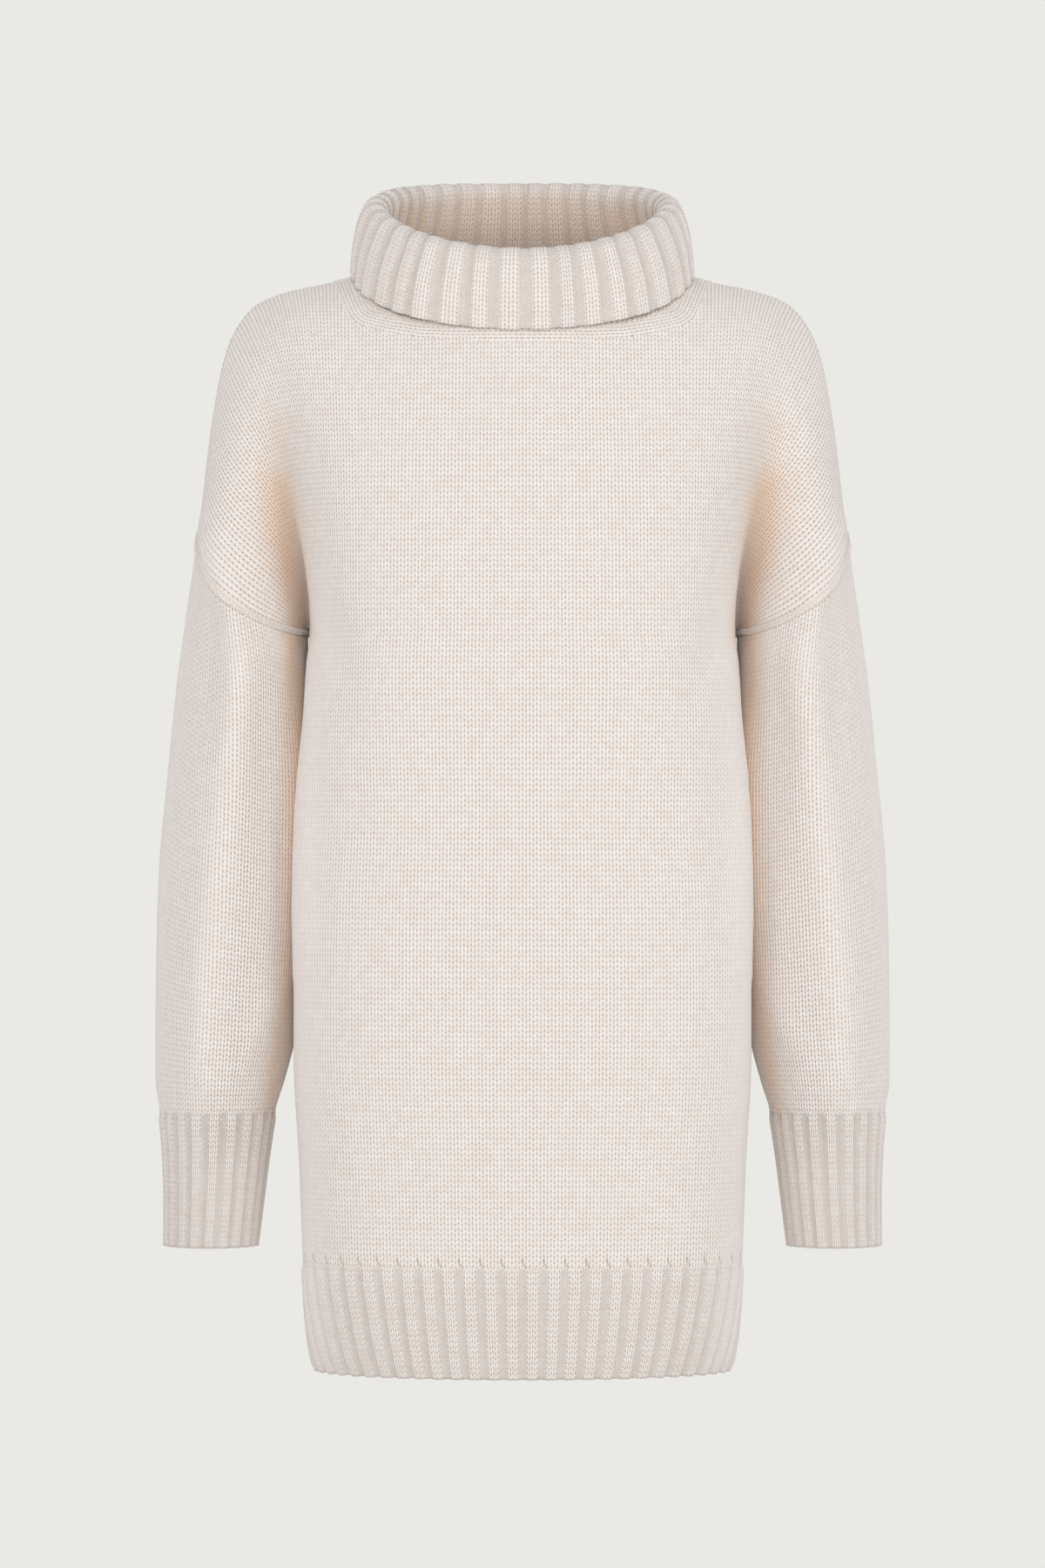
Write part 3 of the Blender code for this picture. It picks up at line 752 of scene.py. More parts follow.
@dataclass
class Piece:
    """A piece of cloth: a knitted outer skin, and a plainer inner skin one thickness behind it."""

    name: str
    body: Body

    def wall(self, outer: Sheet, inner: Sheet, across: np.ndarray, material: bpy.types.Material,
             mirrored: bool = False) -> bpy.types.Object:
        """Raise the stitches, give the cloth its thickness and make it an object.

        Args:
            outer: The outer skin on the plain form.
            inner: The inner skin on the plain form.
            across: The direction out of the cloth at each point of the inner skin.
            material: The wool that the wall is knitted from.
            mirrored: Whether the piece is the mirror image of these skins.

        Returns:
            The object, at the origin, with its stitch places as UVs and its marks as attributes.
        """
        area = np.linalg.norm(inner.crosses(), axis=1).sum() / 2
        log.info("%s: one side %.4f square metres before its stitches", self.name, area)
        inner.points = inner.points - across * WALL
        outer.points = outer.points + outer.normals() * outer.marks[:, :1]
        if mirrored:
            outer, inner = outer.mirror(), inner.mirror()
        both = outer.with_sheet(inner.turned())
        strip, strip_corners = edge_strip(outer, inner)
        mesh = bpy.data.meshes.new(self.name)
        mesh.from_pydata(both.points.tolist(), [], np.concatenate([both.faces, strip]).tolist())
        mesh.shade_smooth()
        corners = np.concatenate([both.corners, strip_corners])
        mesh.uv_layers.new(name="stitches").data.foreach_set("uv", corners.astype(np.float32).ravel())
        # The marks as attributes: purl, painted shade, and painted sheen with painted shade below 0.
        for kind, mark in zip(("purl", "warm", "sheen_and_shade"), both.marks.T[1:]):
            attribute = mesh.attributes.new(kind, "FLOAT", "POINT")
            attribute.data.foreach_set("value", mark.astype(np.float32))
        mesh.validate()
        mesh.materials.append(material)
        return link(self.name, mesh)


@dataclass
class BodyPanel(Piece):
    """A body panel: a ribbed hem, plain knit up to the shoulder, and wales added under the arm."""

    side: Side
    band: NeckBand
    hem_wales: int = 48
    rib_wales: int = 64
    rib_courses: float = 21.0
    rib_fade: float = 2.2
    purl_fade: float = 0.6
    rib_gap: float = 0.3
    # Painted shade, dim and warm, in the purl grooves of the hem rib.
    groove_warmth: float = 0.05
    added_from: float = -0.400
    added_to: float = -0.262
    armhole_top: float = -0.179
    seam_share: float = 0.9993
    last_step: float = 0.9990
    plain_squeeze: float = 0.85
    rib_squeeze: float = 0.7
    smooth_passes: int = 160
    smooth_in: float = 0.3
    smooth_out: tuple[float, float] = (0.86, 0.99)
    lattice: Lattice = LATTICE

    def __post_init__(self) -> None:
        """Work out a fine line up each quarter wale."""
        body = self.body
        self.wales = self.lattice.wales(body.armpit_wales, True)
        self.heights = np.linspace(body.hem, body.armpit, 281)
        self.courses = (self.heights - body.hem) / COURSE
        self.shares = np.linspace(0, 1, 481)
        self.sections = self.level_points(self.heights, self.shares)
        self.blend = smooth_step(self.added_from, self.added_to, self.heights)
        self.edge_wales = self.hem_wales + self.blend * (body.armpit_wales - self.hem_wales)
        armpit_wale = np.interp(self.shares, body.chest_track.at(self.wales)[:, 0], self.wales)
        plain = self.hem_wales * self.shares
        self.wale_of_share = plain + self.blend[:, None] * (armpit_wale - plain)
        steps = np.linspace(0, self.last_step, 161)
        self.upper = self.smoothed(body.wale_curves(self.wales, self.side, steps))

    def smoothed(self, curves: np.ndarray) -> np.ndarray:
        """The curves above the armpit, evened out across the wales but for their ends."""
        steps = np.linspace(0, 1, len(curves))
        weight = smooth_step(0.0, self.smooth_in, steps) * (1 - smooth_step(*self.smooth_out, steps))
        weight = (0.5 * weight)[:, None, None]
        for _ in range(self.smooth_passes):
            before = np.concatenate([curves[:, 1:2] * MIRROR, curves[:, :-2]], axis=1)
            curves[:, :-1] += weight * ((before + curves[:, 1:]) / 2 - curves[:, :-1])
        return curves

    def level_points(self, heights: np.ndarray, shares: np.ndarray) -> np.ndarray:
        """Points [height, share] of the quarter sections at some heights."""
        return np.stack([resample(self.body.quarter(height, self.side), shares) for height in heights])

    def column(self, which: int) -> tuple[np.ndarray, np.ndarray]:
        """A fine line up one wale.

        Args:
            which: The number of the wale in self.wales.

        Returns:
            Its courses and its points.
        """
        wale, body = self.wales[which], self.body
        above = self.upper[:, which]
        run = (body.armpit - body.hem) / COURSE + lengths(above) / COURSE
        if wale >= body.armpit_wales:
            return run, above
        shares = np.array([np.interp(wale, row, self.shares) for row in self.wale_of_share])
        place = np.minimum(shares, self.seam_share) * (len(self.shares) - 1)
        low = np.minimum(place.astype(int), len(self.shares) - 2)
        rest = (place - low)[:, None]
        rows = np.arange(len(self.heights))
        points = self.sections[rows, low] * (1 - rest) + self.sections[rows, low + 1] * rest
        heights = self.heights
        if wale > self.hem_wales:
            added = (wale - self.hem_wales) / (body.armpit_wales - self.hem_wales)
            start = np.interp(added, self.blend, heights)
            keep = heights > start + COURSE / 4
            first = self.level_points(np.array([start]), np.array([self.seam_share]))[0]
            points = np.concatenate([first, points[keep]])
            heights = np.concatenate([[start], heights[keep]])
        courses = (heights - body.hem) / COURSE
        return np.concatenate([courses, run[1:]]), np.concatenate([points, above[1:]])

    def half(self, outer: bool) -> Sheet:
        """The right half of one skin.

        Args:
            outer: Whether it is the outer skin, with its stitches and its hem rib.

        Returns:
            The half skin on the plain form.
        """
        skin, lines, feet = Skin(), [], []
        low = self.rib_courses + self.rib_gap if outer else 0.0
        for wale in self.lattice.wales(self.body.armpit_wales, outer):
            courses, points = self.column(int(np.searchsorted(self.wales, wale)))
            end = courses[-1]
            wanted, keys = self.lattice.courses(max(low, courses[0]), end, outer)
            place = sample(wanted, courses, points)
            if wale == 0:
                place[:, 0] = 0.0
            raised = 0.0
            if outer:
                edge = np.interp(wanted, self.courses, self.edge_wales)
                beside = np.minimum((edge - wale) * WALE * self.plain_squeeze, (end - wanted) * COURSE)
                raised = STITCHES.plain(wale, wanted) + seam_dip(beside)
            lines.append(skin.add(keys, place, wale, wanted, raised, 0.0 if outer else 1.0))
            if wale <= self.hem_wales:
                feet.append((wale / self.hem_wales, *lines[-1].pick(0)))
        flip = self.side is Side.BACK
        last = len(feet)
        skin.join_all(lines[:last], flip)
        skin.join(lines[last - 1].above(lines[last].keys[0]), lines[last], flip)
        skin.join_all(lines[last:], flip)
        if outer:
            self.knit_rib(skin, feet, flip)
        return skin.freeze()

    def knit_rib(self, skin: Skin, feet: list[tuple], flip: bool) -> None:
        """Add the hem rib below the plain knit.

        Args:
            skin: The outer skin.
            feet: The share of the section, the point and the place at the foot of each plain line.
            flip: Whether the triangles are turned over, as on the back.
        """
        lines, heads = [], []
        wales = self.lattice.wales(self.rib_wales, True)
        rows = np.linspace(self.body.hem, self.body.hem + self.rib_courses * COURSE, 43)
        sections = self.level_points(rows, np.minimum(wales / self.rib_wales, self.seam_share))
        sections[:, 0, 0] = 0.0
        wanted, keys = self.lattice.courses(0.0, self.rib_courses, True)
        left = self.rib_courses - wanted
        for which, wale in enumerate(wales):
            place = sample(wanted, (rows - self.body.hem) / COURSE, sections[:, which])
            purl = STITCHES.purl(wale)
            raised = STITCHES.rib(wale, wanted, smooth_step(0.0, self.rib_fade, left))
            raised = raised + seam_dip((self.rib_wales - wale) * WALE * self.rib_squeeze)
            purled = purl * smooth_step(0.0, self.purl_fade, left)
            lines.append(skin.add(keys, place, wale, wanted, raised, purled, purl * self.groove_warmth))
            share = wale / self.rib_wales
            heads.append((share, lines[-1].index[-1], (share * self.hem_wales, self.rib_courses)))
        skin.join_all(lines, flip)
        skin.join(Line.across(heads), Line.across(feet), not flip)

    def build(self, material: bpy.types.Material) -> bpy.types.Object:
        """Knit the panel.

        Args:
            material: Its wool.

        Returns:
            The panel as an object.
        """
        outer, inner = (
            half.with_sheet(half.mirror()).welded().folded() for half in map(self.half, (True, False))
        )
        self.surface = Surface(outer)
        self.band.knit(outer, self.surface)
        return self.wall(outer, inner, self.inwards(inner), material)

    def inwards(self, inner: Sheet) -> np.ndarray:
        """Directions across the thickness at the inner skin's points, turned at each seam."""
        normals, body, arm = inner.normals(), self.body, ArmForm(self.body)
        for point in sum(inner.edges(), []):
            turn = MIRROR if inner.points[point, 0] < 0 else np.ones(3)
            at = inner.points[point] * turn
            x, y, z = at
            if z < body.armpit + CLOSE:
                if z > body.hem + CLOSE:
                    normals[point] = (turn[0], 0.0, 0.0)
            elif abs(y) > BESIDE and x > body.neck.wide + BESIDE or z < self.armhole_top:
                normals[point] = arm.seam_normal(at[None, :], self.side)[0] * turn
            elif x <= body.neck.wide:
                angle = body.neck_angle(np.array([x / body.neck.wide]), self.side)
                normals[point] = body.neck_mitre(angle)[0] * turn
            else:
                normals[point] = unit(normals[point] * (1, 0, 1))
        return normals


@dataclass
class ArmForm:
    """The worn form of a left sleeve, from the armhole to the cuff.

    A row is a level section: its height, its outer and inner edge, its front ridge, its depth and
    how far it stands forward.
    """

    body: Body
    top_key: float = -0.2300
    rib_top: float = -0.5900
    squareness: float = 1.75
    cuff_squareness: float = 2.0
    under_arm_reach: float = 0.022
    centre: Point = (0.192, 0.0, -0.216)
    axis: Point = (0.10, 0.0, -0.995)
    rows: Rows = (
        (-0.2950, 0.2465, 0.1535, 0.2010, 0.0640, 0.000),
        (-0.3500, 0.2520, 0.1500, 0.2040, 0.0620, 0.001),
        (-0.4200, 0.2583, 0.1505, 0.2090, 0.0600, 0.003),
        (-0.4800, 0.2602, 0.1540, 0.2150, 0.0580, 0.005),
        (-0.5350, 0.2606, 0.1605, 0.2190, 0.0560, 0.008),
        (-0.5700, 0.2604, 0.1690, 0.2190, 0.0530, 0.010),
        (-0.5900, 0.2575, 0.1755, 0.2180, 0.0480, 0.011),
        (-0.6200, 0.2545, 0.1805, 0.2190, 0.0450, 0.012),
        (-0.6550, 0.2532, 0.1850, 0.2200, 0.0420, 0.014),
        (-0.6870, 0.2533, 0.1890, 0.2215, 0.0395, 0.015),
    )

    def section(self, row: tuple[float, ...], side: Side, shares: np.ndarray) -> np.ndarray:
        """Points of half a level section, from its inner to its outer edge."""
        height, outer, inner, ridge, depth, forward = row
        power = self.squareness if height > self.rib_top else self.cuff_squareness
        turn = np.linspace(0, math.pi, 241)
        spread = np.abs(np.cos(turn)) ** (2 / power)
        inwards, outwards = ridge - (ridge - inner) * spread, ridge + (outer - ridge) * spread
        x = np.where(turn < math.pi / 2, inwards, outwards)
        y = side.value * depth * np.sin(turn) ** (2 / power) - forward
        return resample(np.stack([x, y, np.full_like(x, height)], axis=1), shares)

    def rings(self, heights: np.ndarray, steps: np.ndarray) -> tuple[np.ndarray, np.ndarray]:
        """The sleeve's surface as rings.

        Args:
            heights: The height of each ring; one above the first section stands for the seam.
            steps: Steps up the armhole that set the places of a ring's points.

        Returns:
            Places round the arm, from 0 under it over the front and back to 1, and points
            [ring, place].
        """
        tops = [self.body.armhole(side, steps) for side in Side]
        shares = [lengths(top) / lengths(top)[-1] for top in tops]
        places = np.concatenate([shares[0], 2 - shares[1][-2::-1]]) / 2
        rings = [tops] + [[self.section(row, *half) for half in zip(Side, shares)] for row in self.rows]
        rings = np.stack([np.concatenate([front, back[-2::-1]]) for front, back in rings])
        keys = [0.0] + [self.top_key - row[0] for row in self.rows]
        wanted = np.maximum(self.top_key - np.asarray(heights), 0.0)
        return places, Track(keys, rings).at(wanted).reshape(len(wanted), -1, 3)

    def seam_normal(self, points: np.ndarray, side: Side) -> np.ndarray:
        """Directions across the thickness along the armhole seam, turned down under the arm."""
        under = self.body.armhole(side, np.array([0.0]))[0]
        axis = np.array(self.axis)
        spoke = points - np.array(self.centre)
        spoke = unit(spoke - (spoke @ axis)[:, None] * axis)
        gap = np.linalg.norm(points - under, axis=1)
        near = np.exp(-((gap / self.under_arm_reach) ** 2))[:, None]
        return unit(spoke * (1 - near) + DOWN * near)


class Grid:
    """A tube's surface as points [share along it, place round it], read between its points."""

    def __init__(self, places: np.ndarray, rings: np.ndarray) -> None:
        """Even the rings out along the tube.

        Args:
            places: Places round the tube, from 0 to 1.
            rings: Points [ring, place].
        """
        self.shares = np.linspace(0, 1, 201)
        self.rounds = np.linspace(0, 1, 481)
        lines = [resample(rings[:, which], self.shares) for which in range(len(places))]
        even = np.stack(lines, axis=1)
        self.points = np.stack([sample(self.rounds, places, ring) for ring in even])

    def at(self, shares: np.ndarray, places: np.ndarray | float) -> np.ndarray:
        """Points at pairs of a share along the tube and a place round it."""
        rows = np.clip(shares, 0, 1) * (len(self.shares) - 1)
        columns = np.clip(np.broadcast_to(places, len(shares)), 0, 1) * (len(self.rounds) - 1)
        i = np.minimum(rows.astype(int), len(self.shares) - 2)
        j = np.minimum(columns.astype(int), len(self.rounds) - 2)
        s, t = (rows - i)[:, None], (columns - j)[:, None]
        low = self.points[i, j] * (1 - t) + self.points[i, j + 1] * t
        high = self.points[i + 1, j] * (1 - t) + self.points[i + 1, j + 1] * t
        return low * (1 - s) + high * s


@dataclass
class Sleeve(Piece):
    """A sleeve: plain knit from the armhole down, narrowed under the arm, and a ribbed cuff."""

    hand: Hand
    top_wales: float = 74.0
    cuff_top_wales: float = 66.0
    courses: float = 100.0
    rib_wales: int = 88
    rib_courses: float = 26.0
    rib_fade: float = 2.6
    purl_fade: float = 0.6
    rib_gap: float = 0.3
    # Painted shade, dim and warm, in the purl grooves of the cuff rib.
    groove_warmth: float = 0.05
    lattice: Lattice = FINE_LATTICE

    def wales_round(self, share: np.ndarray) -> np.ndarray:
        """How many wales go round the sleeve at a share of its length."""
        return self.top_wales + (self.cuff_top_wales - self.top_wales) * share

    def knit(self, grid: Grid, cuff: Grid, outer: bool) -> Sheet:
        """One skin of the wearer's left sleeve on the plain form.

        Args:
            grid: The sleeve's surface.
            cuff: The cuff's surface.
            outer: Whether it is the outer skin, with its stitches and its raised rib.

        Returns:
            The skin, with its cuff.
        """
        skin, feet = Skin(), {}
        low = self.courses - (self.rib_gap if outer else 0.0)
        for sign in (-1, 1):
            lines = []
            for wale in self.lattice.wales(self.top_wales / 2, outer):
                narrowed = (self.top_wales - 2 * wale) / (self.top_wales - self.cuff_top_wales)
                end = max(min(low, self.courses * narrowed), 1.0)
                wanted, keys = self.lattice.courses(0.0, end, outer, -STITCHES.lean(wale))
                share = wanted / self.courses
                place = grid.at(share, 0.5 + sign * wale / self.wales_round(share))
                raised = 0.0
                if outer:
                    beside = np.minimum((self.wales_round(share) / 2 - wale) * WALE, wanted * COURSE)
                    raised = STITCHES.plain(wale, -wanted) + seam_dip(beside)
                line = skin.add(keys, place, sign * wale, -wanted, raised, 0.0 if outer else 1.0)
                lines.append(line)
                if end >= low - NEAR:
                    feet.setdefault(0.5 + sign * wale / self.cuff_top_wales, line.pick(-1))
            skin.join_all(lines, sign > 0)
        heads = self.knit_cuff(skin, cuff, outer)
        skin.join(Line.across(heads), Line.across([(key, *feet[key]) for key in sorted(feet)]), True)
        return skin.freeze().welded()

    def knit_cuff(self, skin: Skin, cuff: Grid, outer: bool) -> list[tuple]:
        """Add the cuff rib below the plain knit.

        Args:
            skin: The skin.
            cuff: The cuff's surface.
            outer: Whether it is the outer skin.

        Returns:
            The place round the arm, the point and the stitch place at the head of each rib line.
        """
        lines, heads = [], []
        for wale in self.lattice.wales(self.rib_wales, outer):
            around = wale / self.rib_wales
            wanted, keys = self.lattice.courses(0.0, self.rib_courses, outer, -STITCHES.lean(wale))
            raised, purl, warm = 0.0, 1.0, 0.0
            if outer:
                raised = STITCHES.rib(wale, -wanted, smooth_step(0.0, self.rib_fade, wanted))
                warm = STITCHES.purl(wale) * self.groove_warmth
                purl = STITCHES.purl(wale) * smooth_step(0.0, self.purl_fade, wanted)
            if around < 1.0 - NEAR:
                place = cuff.at(wanted / self.rib_courses, around)
                lines.append(skin.add(keys, place, wale, -self.courses - wanted, raised, purl, warm))
            else:
                lines.append(lines[0].shifted(self.rib_wales))
            above = (around - 0.5) * self.cuff_top_wales
            heads.append((around, lines[-1].index[0], (above, -self.courses)))
        skin.join_all(lines, True)
        return heads

    def build(self, material: bpy.types.Material) -> bpy.types.Object:
        """Knit the sleeve.

        Args:
            material: Its wool.

        Returns:
            The sleeve as an object.
        """
        arm, steps = ArmForm(self.body), np.linspace(0, 1, 61)
        above = np.linspace(arm.top_key, arm.rib_top, 241)
        below = np.linspace(arm.rib_top, arm.rows[-1][0], 61)
        grid, cuff = (Grid(*arm.rings(heights, steps)) for heights in (above, below))
        outer, inner = (self.knit(grid, cuff, which).folded() for which in (True, False))
        across = inner.normals()
        for loop in map(np.array, inner.edges()):
            if inner.points[loop, 2].mean() > arm.rows[0][0]:
                behind = inner.points[loop, 1] > 0
                for side in Side:
                    chosen = loop[behind == (side is Side.BACK)]
                    across[chosen] = arm.seam_normal(inner.points[chosen], side)
        return self.wall(outer, inner, across, material, self.hand is Hand.RIGHT)


@dataclass
class Collar(Piece):
    """The collar: a ribbed tube from the neck seam up inside, over its roll and down outside."""

    wales: int = 152
    courses: float = 39.0
    courses_from: float = 200.0
    # Painted shade, dim and warm, on the collar's inner side from the neck seam up to inside_to
    # courses, fading over inside_fade more.
    inside_warmth: float = 0.60
    inside_to: float = 12.5
    inside_fade: float = 7.0
    inside_share: float = 0.55
    share_from: float = 10.0
    share_to: float = 24.0
    seam_courses: float = 3.0
    rim_course: float = 18.0
    rim_courses: float = 4.6
    rim_share: float = 0.72
    # Deeper painted shade on the two grooves where the fold's inner side turns.
    deep_warmth: float = 0.90
    inside_blend: float = 0.15
    # Painted shade, dim and warm, in the purl grooves of the collar's rib.
    groove_warmth: float = 0.12
    grooves: tuple[int, int] = (53, 57)
    groove_width: float = 0.6
    waves: Rows = ((0.0035, 10, 1), (0.0016, 26, 0))
    variety: tuple[float, float, float] = (0.22, 2.4, 1.3)
    seam_gap: float = 0.0002
    rings: tuple[Ring, ...] = (
        Ring(0.1060, 0.0760, 0.0710, -0.0220, 0.0130, 0.0230),
        Ring(0.0990, 0.0700, 0.0660, -0.0080, 0.0300, 0.0440),
        Ring(0.0955, 0.0690, 0.0650, 0.0050, 0.0440, 0.0620),
        Ring(0.0975, 0.0720, 0.0690, 0.0125, 0.0510, 0.0705),
        Ring(0.1035, 0.0795, 0.0765, 0.0150, 0.0545, 0.0735),
        Ring(0.1095, 0.0885, 0.0855, 0.0115, 0.0525, 0.0700),
        Ring(0.1150, 0.0945, 0.0910, 0.0000, 0.0420, 0.0560),
        Ring(0.1190, 0.0955, 0.0935, -0.0200, 0.0230, 0.0340, sag=0.0020, flare=0.040),
        Ring(0.1208, 0.0902, 0.0900, -0.0420, 0.0040, 0.0110, sag=0.0030, flare=0.065),
    )
    lattice: Lattice = FINE_LATTICE

    def grid(self) -> Grid:
        """The surface of the side that shows."""
        places = np.linspace(0, 1, 241)
        angle = 2 * math.pi * places
        seam = self.body.neck.points(angle) - self.body.neck_mitre(angle) * WALL
        seam[:, 2] += self.seam_gap
        rows = np.stack([seam] + [ring.points(angle) for ring in self.rings])
        last = len(rows) - 1
        fine = Track(np.arange(last + 1), rows).at(np.linspace(0, last, 181))
        return Grid(places, fine.reshape(len(fine), -1, 3))

    def uneven(self, around: float) -> float:
        """The place round the neck at which a wale of the uneven ribs stands."""
        place = around
        for reach, turns, phase in self.waves:
            place += reach * math.sin(turns * math.pi * around + phase)
        return place

    def rib_share(self, wale: float, courses: np.ndarray) -> np.ndarray:
        """How much of its relief a rib has at each course: little at the seam and over the rim."""
        reach, turn, power = self.variety
        rib = 1 + reach * math.sin(turn * round(wale / STITCHES.rib_repeat) ** power)
        rim = 1 - self.rim_share * np.exp(-(((courses - self.rim_course) / self.rim_courses) ** 2))
        outside = smooth_step(self.share_from, self.share_to, courses)
        inside = self.inside_share + (1 - self.inside_share) * outside
        return rib * rim * inside * smooth_step(0.0, self.seam_courses, courses)

    def knit(self, grid: Grid, outer: bool) -> Sheet:
        """One skin of the collar.

        Args:
            grid: The surface of the side that shows.
            outer: Whether it is the side that shows.

        Returns:
            The skin on the plain form.
        """
        skin, lines = Skin(), []
        for wale in self.lattice.wales(self.wales, outer)[:-1]:
            wanted, keys = self.lattice.courses(0.0, self.courses, outer, STITCHES.lean(wale))
            place = grid.at(wanted / self.courses, self.uneven(wale / self.wales) % 1.0)
            # Painted shade, dim and warm, inside the collar, deepest on the grooves where the fold's
            # inner side turns.
            inward = 1 - smooth_step(self.inside_to, self.inside_to + self.inside_fade, wanted)
            from_front = min(wale, self.wales - wale)
            gap = min(abs(from_front - groove) for groove in self.grooves)
            warm = (self.deep_warmth if gap < self.groove_width else self.inside_warmth) * inward
            raised, purl = 0.0, 1.0
            if outer:
                purl = STITCHES.purl(wale)
                raised = STITCHES.rib(wale, wanted, self.rib_share(wale, wanted))
                warm = np.maximum(warm, purl * self.groove_warmth)
            purl = purl * (1 - self.inside_blend * inward)
            lines.append(skin.add(keys, place, wale, wanted + self.courses_from, raised, purl, warm))
        skin.join_all(lines + [lines[0].shifted(self.wales)], True)
        return skin.freeze()

    def build(self, material: bpy.types.Material) -> bpy.types.Object:
        """Knit the collar.

        Args:
            material: Its wool.

        Returns:
            The collar as an object.
        """
        grid, neck = self.grid(), self.body.neck
        outer, inner = (self.knit(grid, which).folded() for which in (True, False))
        across = inner.normals()
        for loop in inner.edges():
            x, y, _ = inner.points[loop].T
            if np.abs(x).max() < neck.wide + BESIDE:
                across[loop] = -self.body.neck_mitre(np.arctan2(x / neck.wide, -y))
        return self.wall(outer, inner, across, material)


class Value:
    """A number, vector or colour of a node tree, on which Python's operators add nodes."""

    def __init__(self, nodes: "NodeMaker", socket: bpy.types.NodeSocket | None) -> None:
        """Hold a socket of a node tree."""
        self.nodes = nodes
        self.socket = socket

    def of(self, output: str | int) -> "Value":
        """Another output of the same node."""
        return Value(self.nodes, self.socket.node.outputs[output])

    def math(self, operation: str, *others: "Value | float") -> "Value":
        """The result of a Math node on this value and others."""
        return self.nodes.make("ShaderNodeMath", dict(enumerate((self, *others))), operation=operation)

    def __add__(self, other: "Value | float") -> "Value":
        """The sum."""
        return self.math("ADD", other)

    __radd__ = __add__

    def __mul__(self, other: "Value | float") -> "Value":
        """The product."""
        return self.math("MULTIPLY", other)

    __rmul__ = __mul__

    def __sub__(self, other: "Value | float") -> "Value":
        """The difference."""
        return self.math("SUBTRACT", other)

    def __rsub__(self, other: float) -> "Value":
        """The difference from a number."""
        return self * -1.0 + other

    def fraction(self) -> "Value":
        """The part above the whole number below."""
        return self.math("FRACT")

    def size(self) -> "Value":
        """The value without its sign."""
        return self.math("ABSOLUTE")

    def arch(self) -> "Value":
        """A half wave that rises from 0 and falls back to it while the value goes from 0 to 1."""
        return (self * math.pi).math("SINE")

    def power(self, exponent: float) -> "Value":
        """The value raised to a power."""
        return self.math("POWER", exponent)

    def soft(self, low: float, high: float) -> "Value":
        """A soft step from 0 at low to 1 at high."""
        inputs = {0: self, 1: low, 2: high}
        return self.nodes.make("ShaderNodeMapRange", inputs, interpolation_type="SMOOTHSTEP")


class NodeMaker:
    """Makes the nodes of one tree."""

    def __init__(self, tree: bpy.types.NodeTree) -> None:
        """Start with no nodes."""
        self.tree = tree
        self.tree.nodes.clear()

    def make(self, kind: str, inputs: dict | None = None, **settings: object) -> Value:
        """Make a node.

        Args:
            kind: The node's type.
            inputs: For each input, by name or number, a value, a list of values, or what it is
                set to.
            settings: Its properties.

        Returns:
            The node's first output.
        """
        node = self.tree.nodes.new(kind)
        for name, setting in settings.items():
            setattr(node, name, setting)
        for name, wanted in (inputs or {}).items():
            if not isinstance(wanted, (Value, list)):
                node.inputs[name].default_value = wanted
                continue
            for value in wanted if isinstance(wanted, list) else [wanted]:
                self.tree.links.new(value.socket, node.inputs[name])
        return Value(self, node.outputs[0] if node.outputs else None)

    def mix(self, share: Value, zero: Colour | Value, one: Colour | Value) -> Value:
        """A colour between two, by a share."""
        return self.make("ShaderNodeMix", {0: share, 6: zero, 7: one}, data_type="RGBA").of(2)


class MaterialNodes(NodeMaker):
    """The nodes of one material."""

    def __init__(self, name: str) -> None:
        """Start a material."""
        self.material = bpy.data.materials.new(name)
        self.material.use_nodes = True
        super().__init__(self.material.node_tree)
        self.place = self.make("ShaderNodeTexCoord").of("Object")

    def noise(self, scale: float) -> Value:
        """A noise on the object's own coordinates."""
        return self.make("ShaderNodeTexNoise", {"Vector": self.place, "Scale": scale, "Detail": 3.0})

    def finish(self, **inputs: object) -> bpy.types.Material:
        """Send a shader with the given inputs to the material's output."""
        named = {name.replace("_", " "): wanted for name, wanted in inputs.items()}
        self.make("ShaderNodeOutputMaterial", {"Surface": self.make("ShaderNodeBsdfPrincipled", named)})
        return self.material


@dataclass(frozen=True)
class Yarn:
    """Undyed fuzzy wool, whatever is made of it."""

    name: str
    yarn: Colour
    tuft: Colour
    fuzz: float
    bump: float
    roughness: float = 0.92
    sheen: float = 0.45
    sheen_roughness: float = 0.5

    def dress(self, nodes: MaterialNodes, colour: Value, relief: Value) -> bpy.types.Material:
        """Finish the material with a colour and a relief."""
        bump = nodes.make("ShaderNodeBump", {"Strength": 1.0, "Distance": self.bump, "Height": relief})
        return nodes.finish(Base_Color=colour, Roughness=self.roughness, Sheen_Weight=self.sheen,
                            Sheen_Roughness=self.sheen_roughness, Normal=bump)


@dataclass(frozen=True)
class SeamYarn(Yarn):
    """The yarn of the linked seams, with no stitches of its own."""

    name: str = "seam_yarn"
    yarn: Colour = (0.820, 0.735, 0.670, 1.0)
    tuft: Colour = (0.905, 0.845, 0.805, 1.0)
    fuzz: float = 1100.0
    bump: float = 0.0003

    def material(self) -> bpy.types.Material:
        """Make the yarn's material."""
        nodes = MaterialNodes(self.name)
        strand = nodes.noise(self.fuzz)
        return self.dress(nodes, nodes.mix(strand.soft(0.30, 0.62), self.yarn, self.tuft), strand)


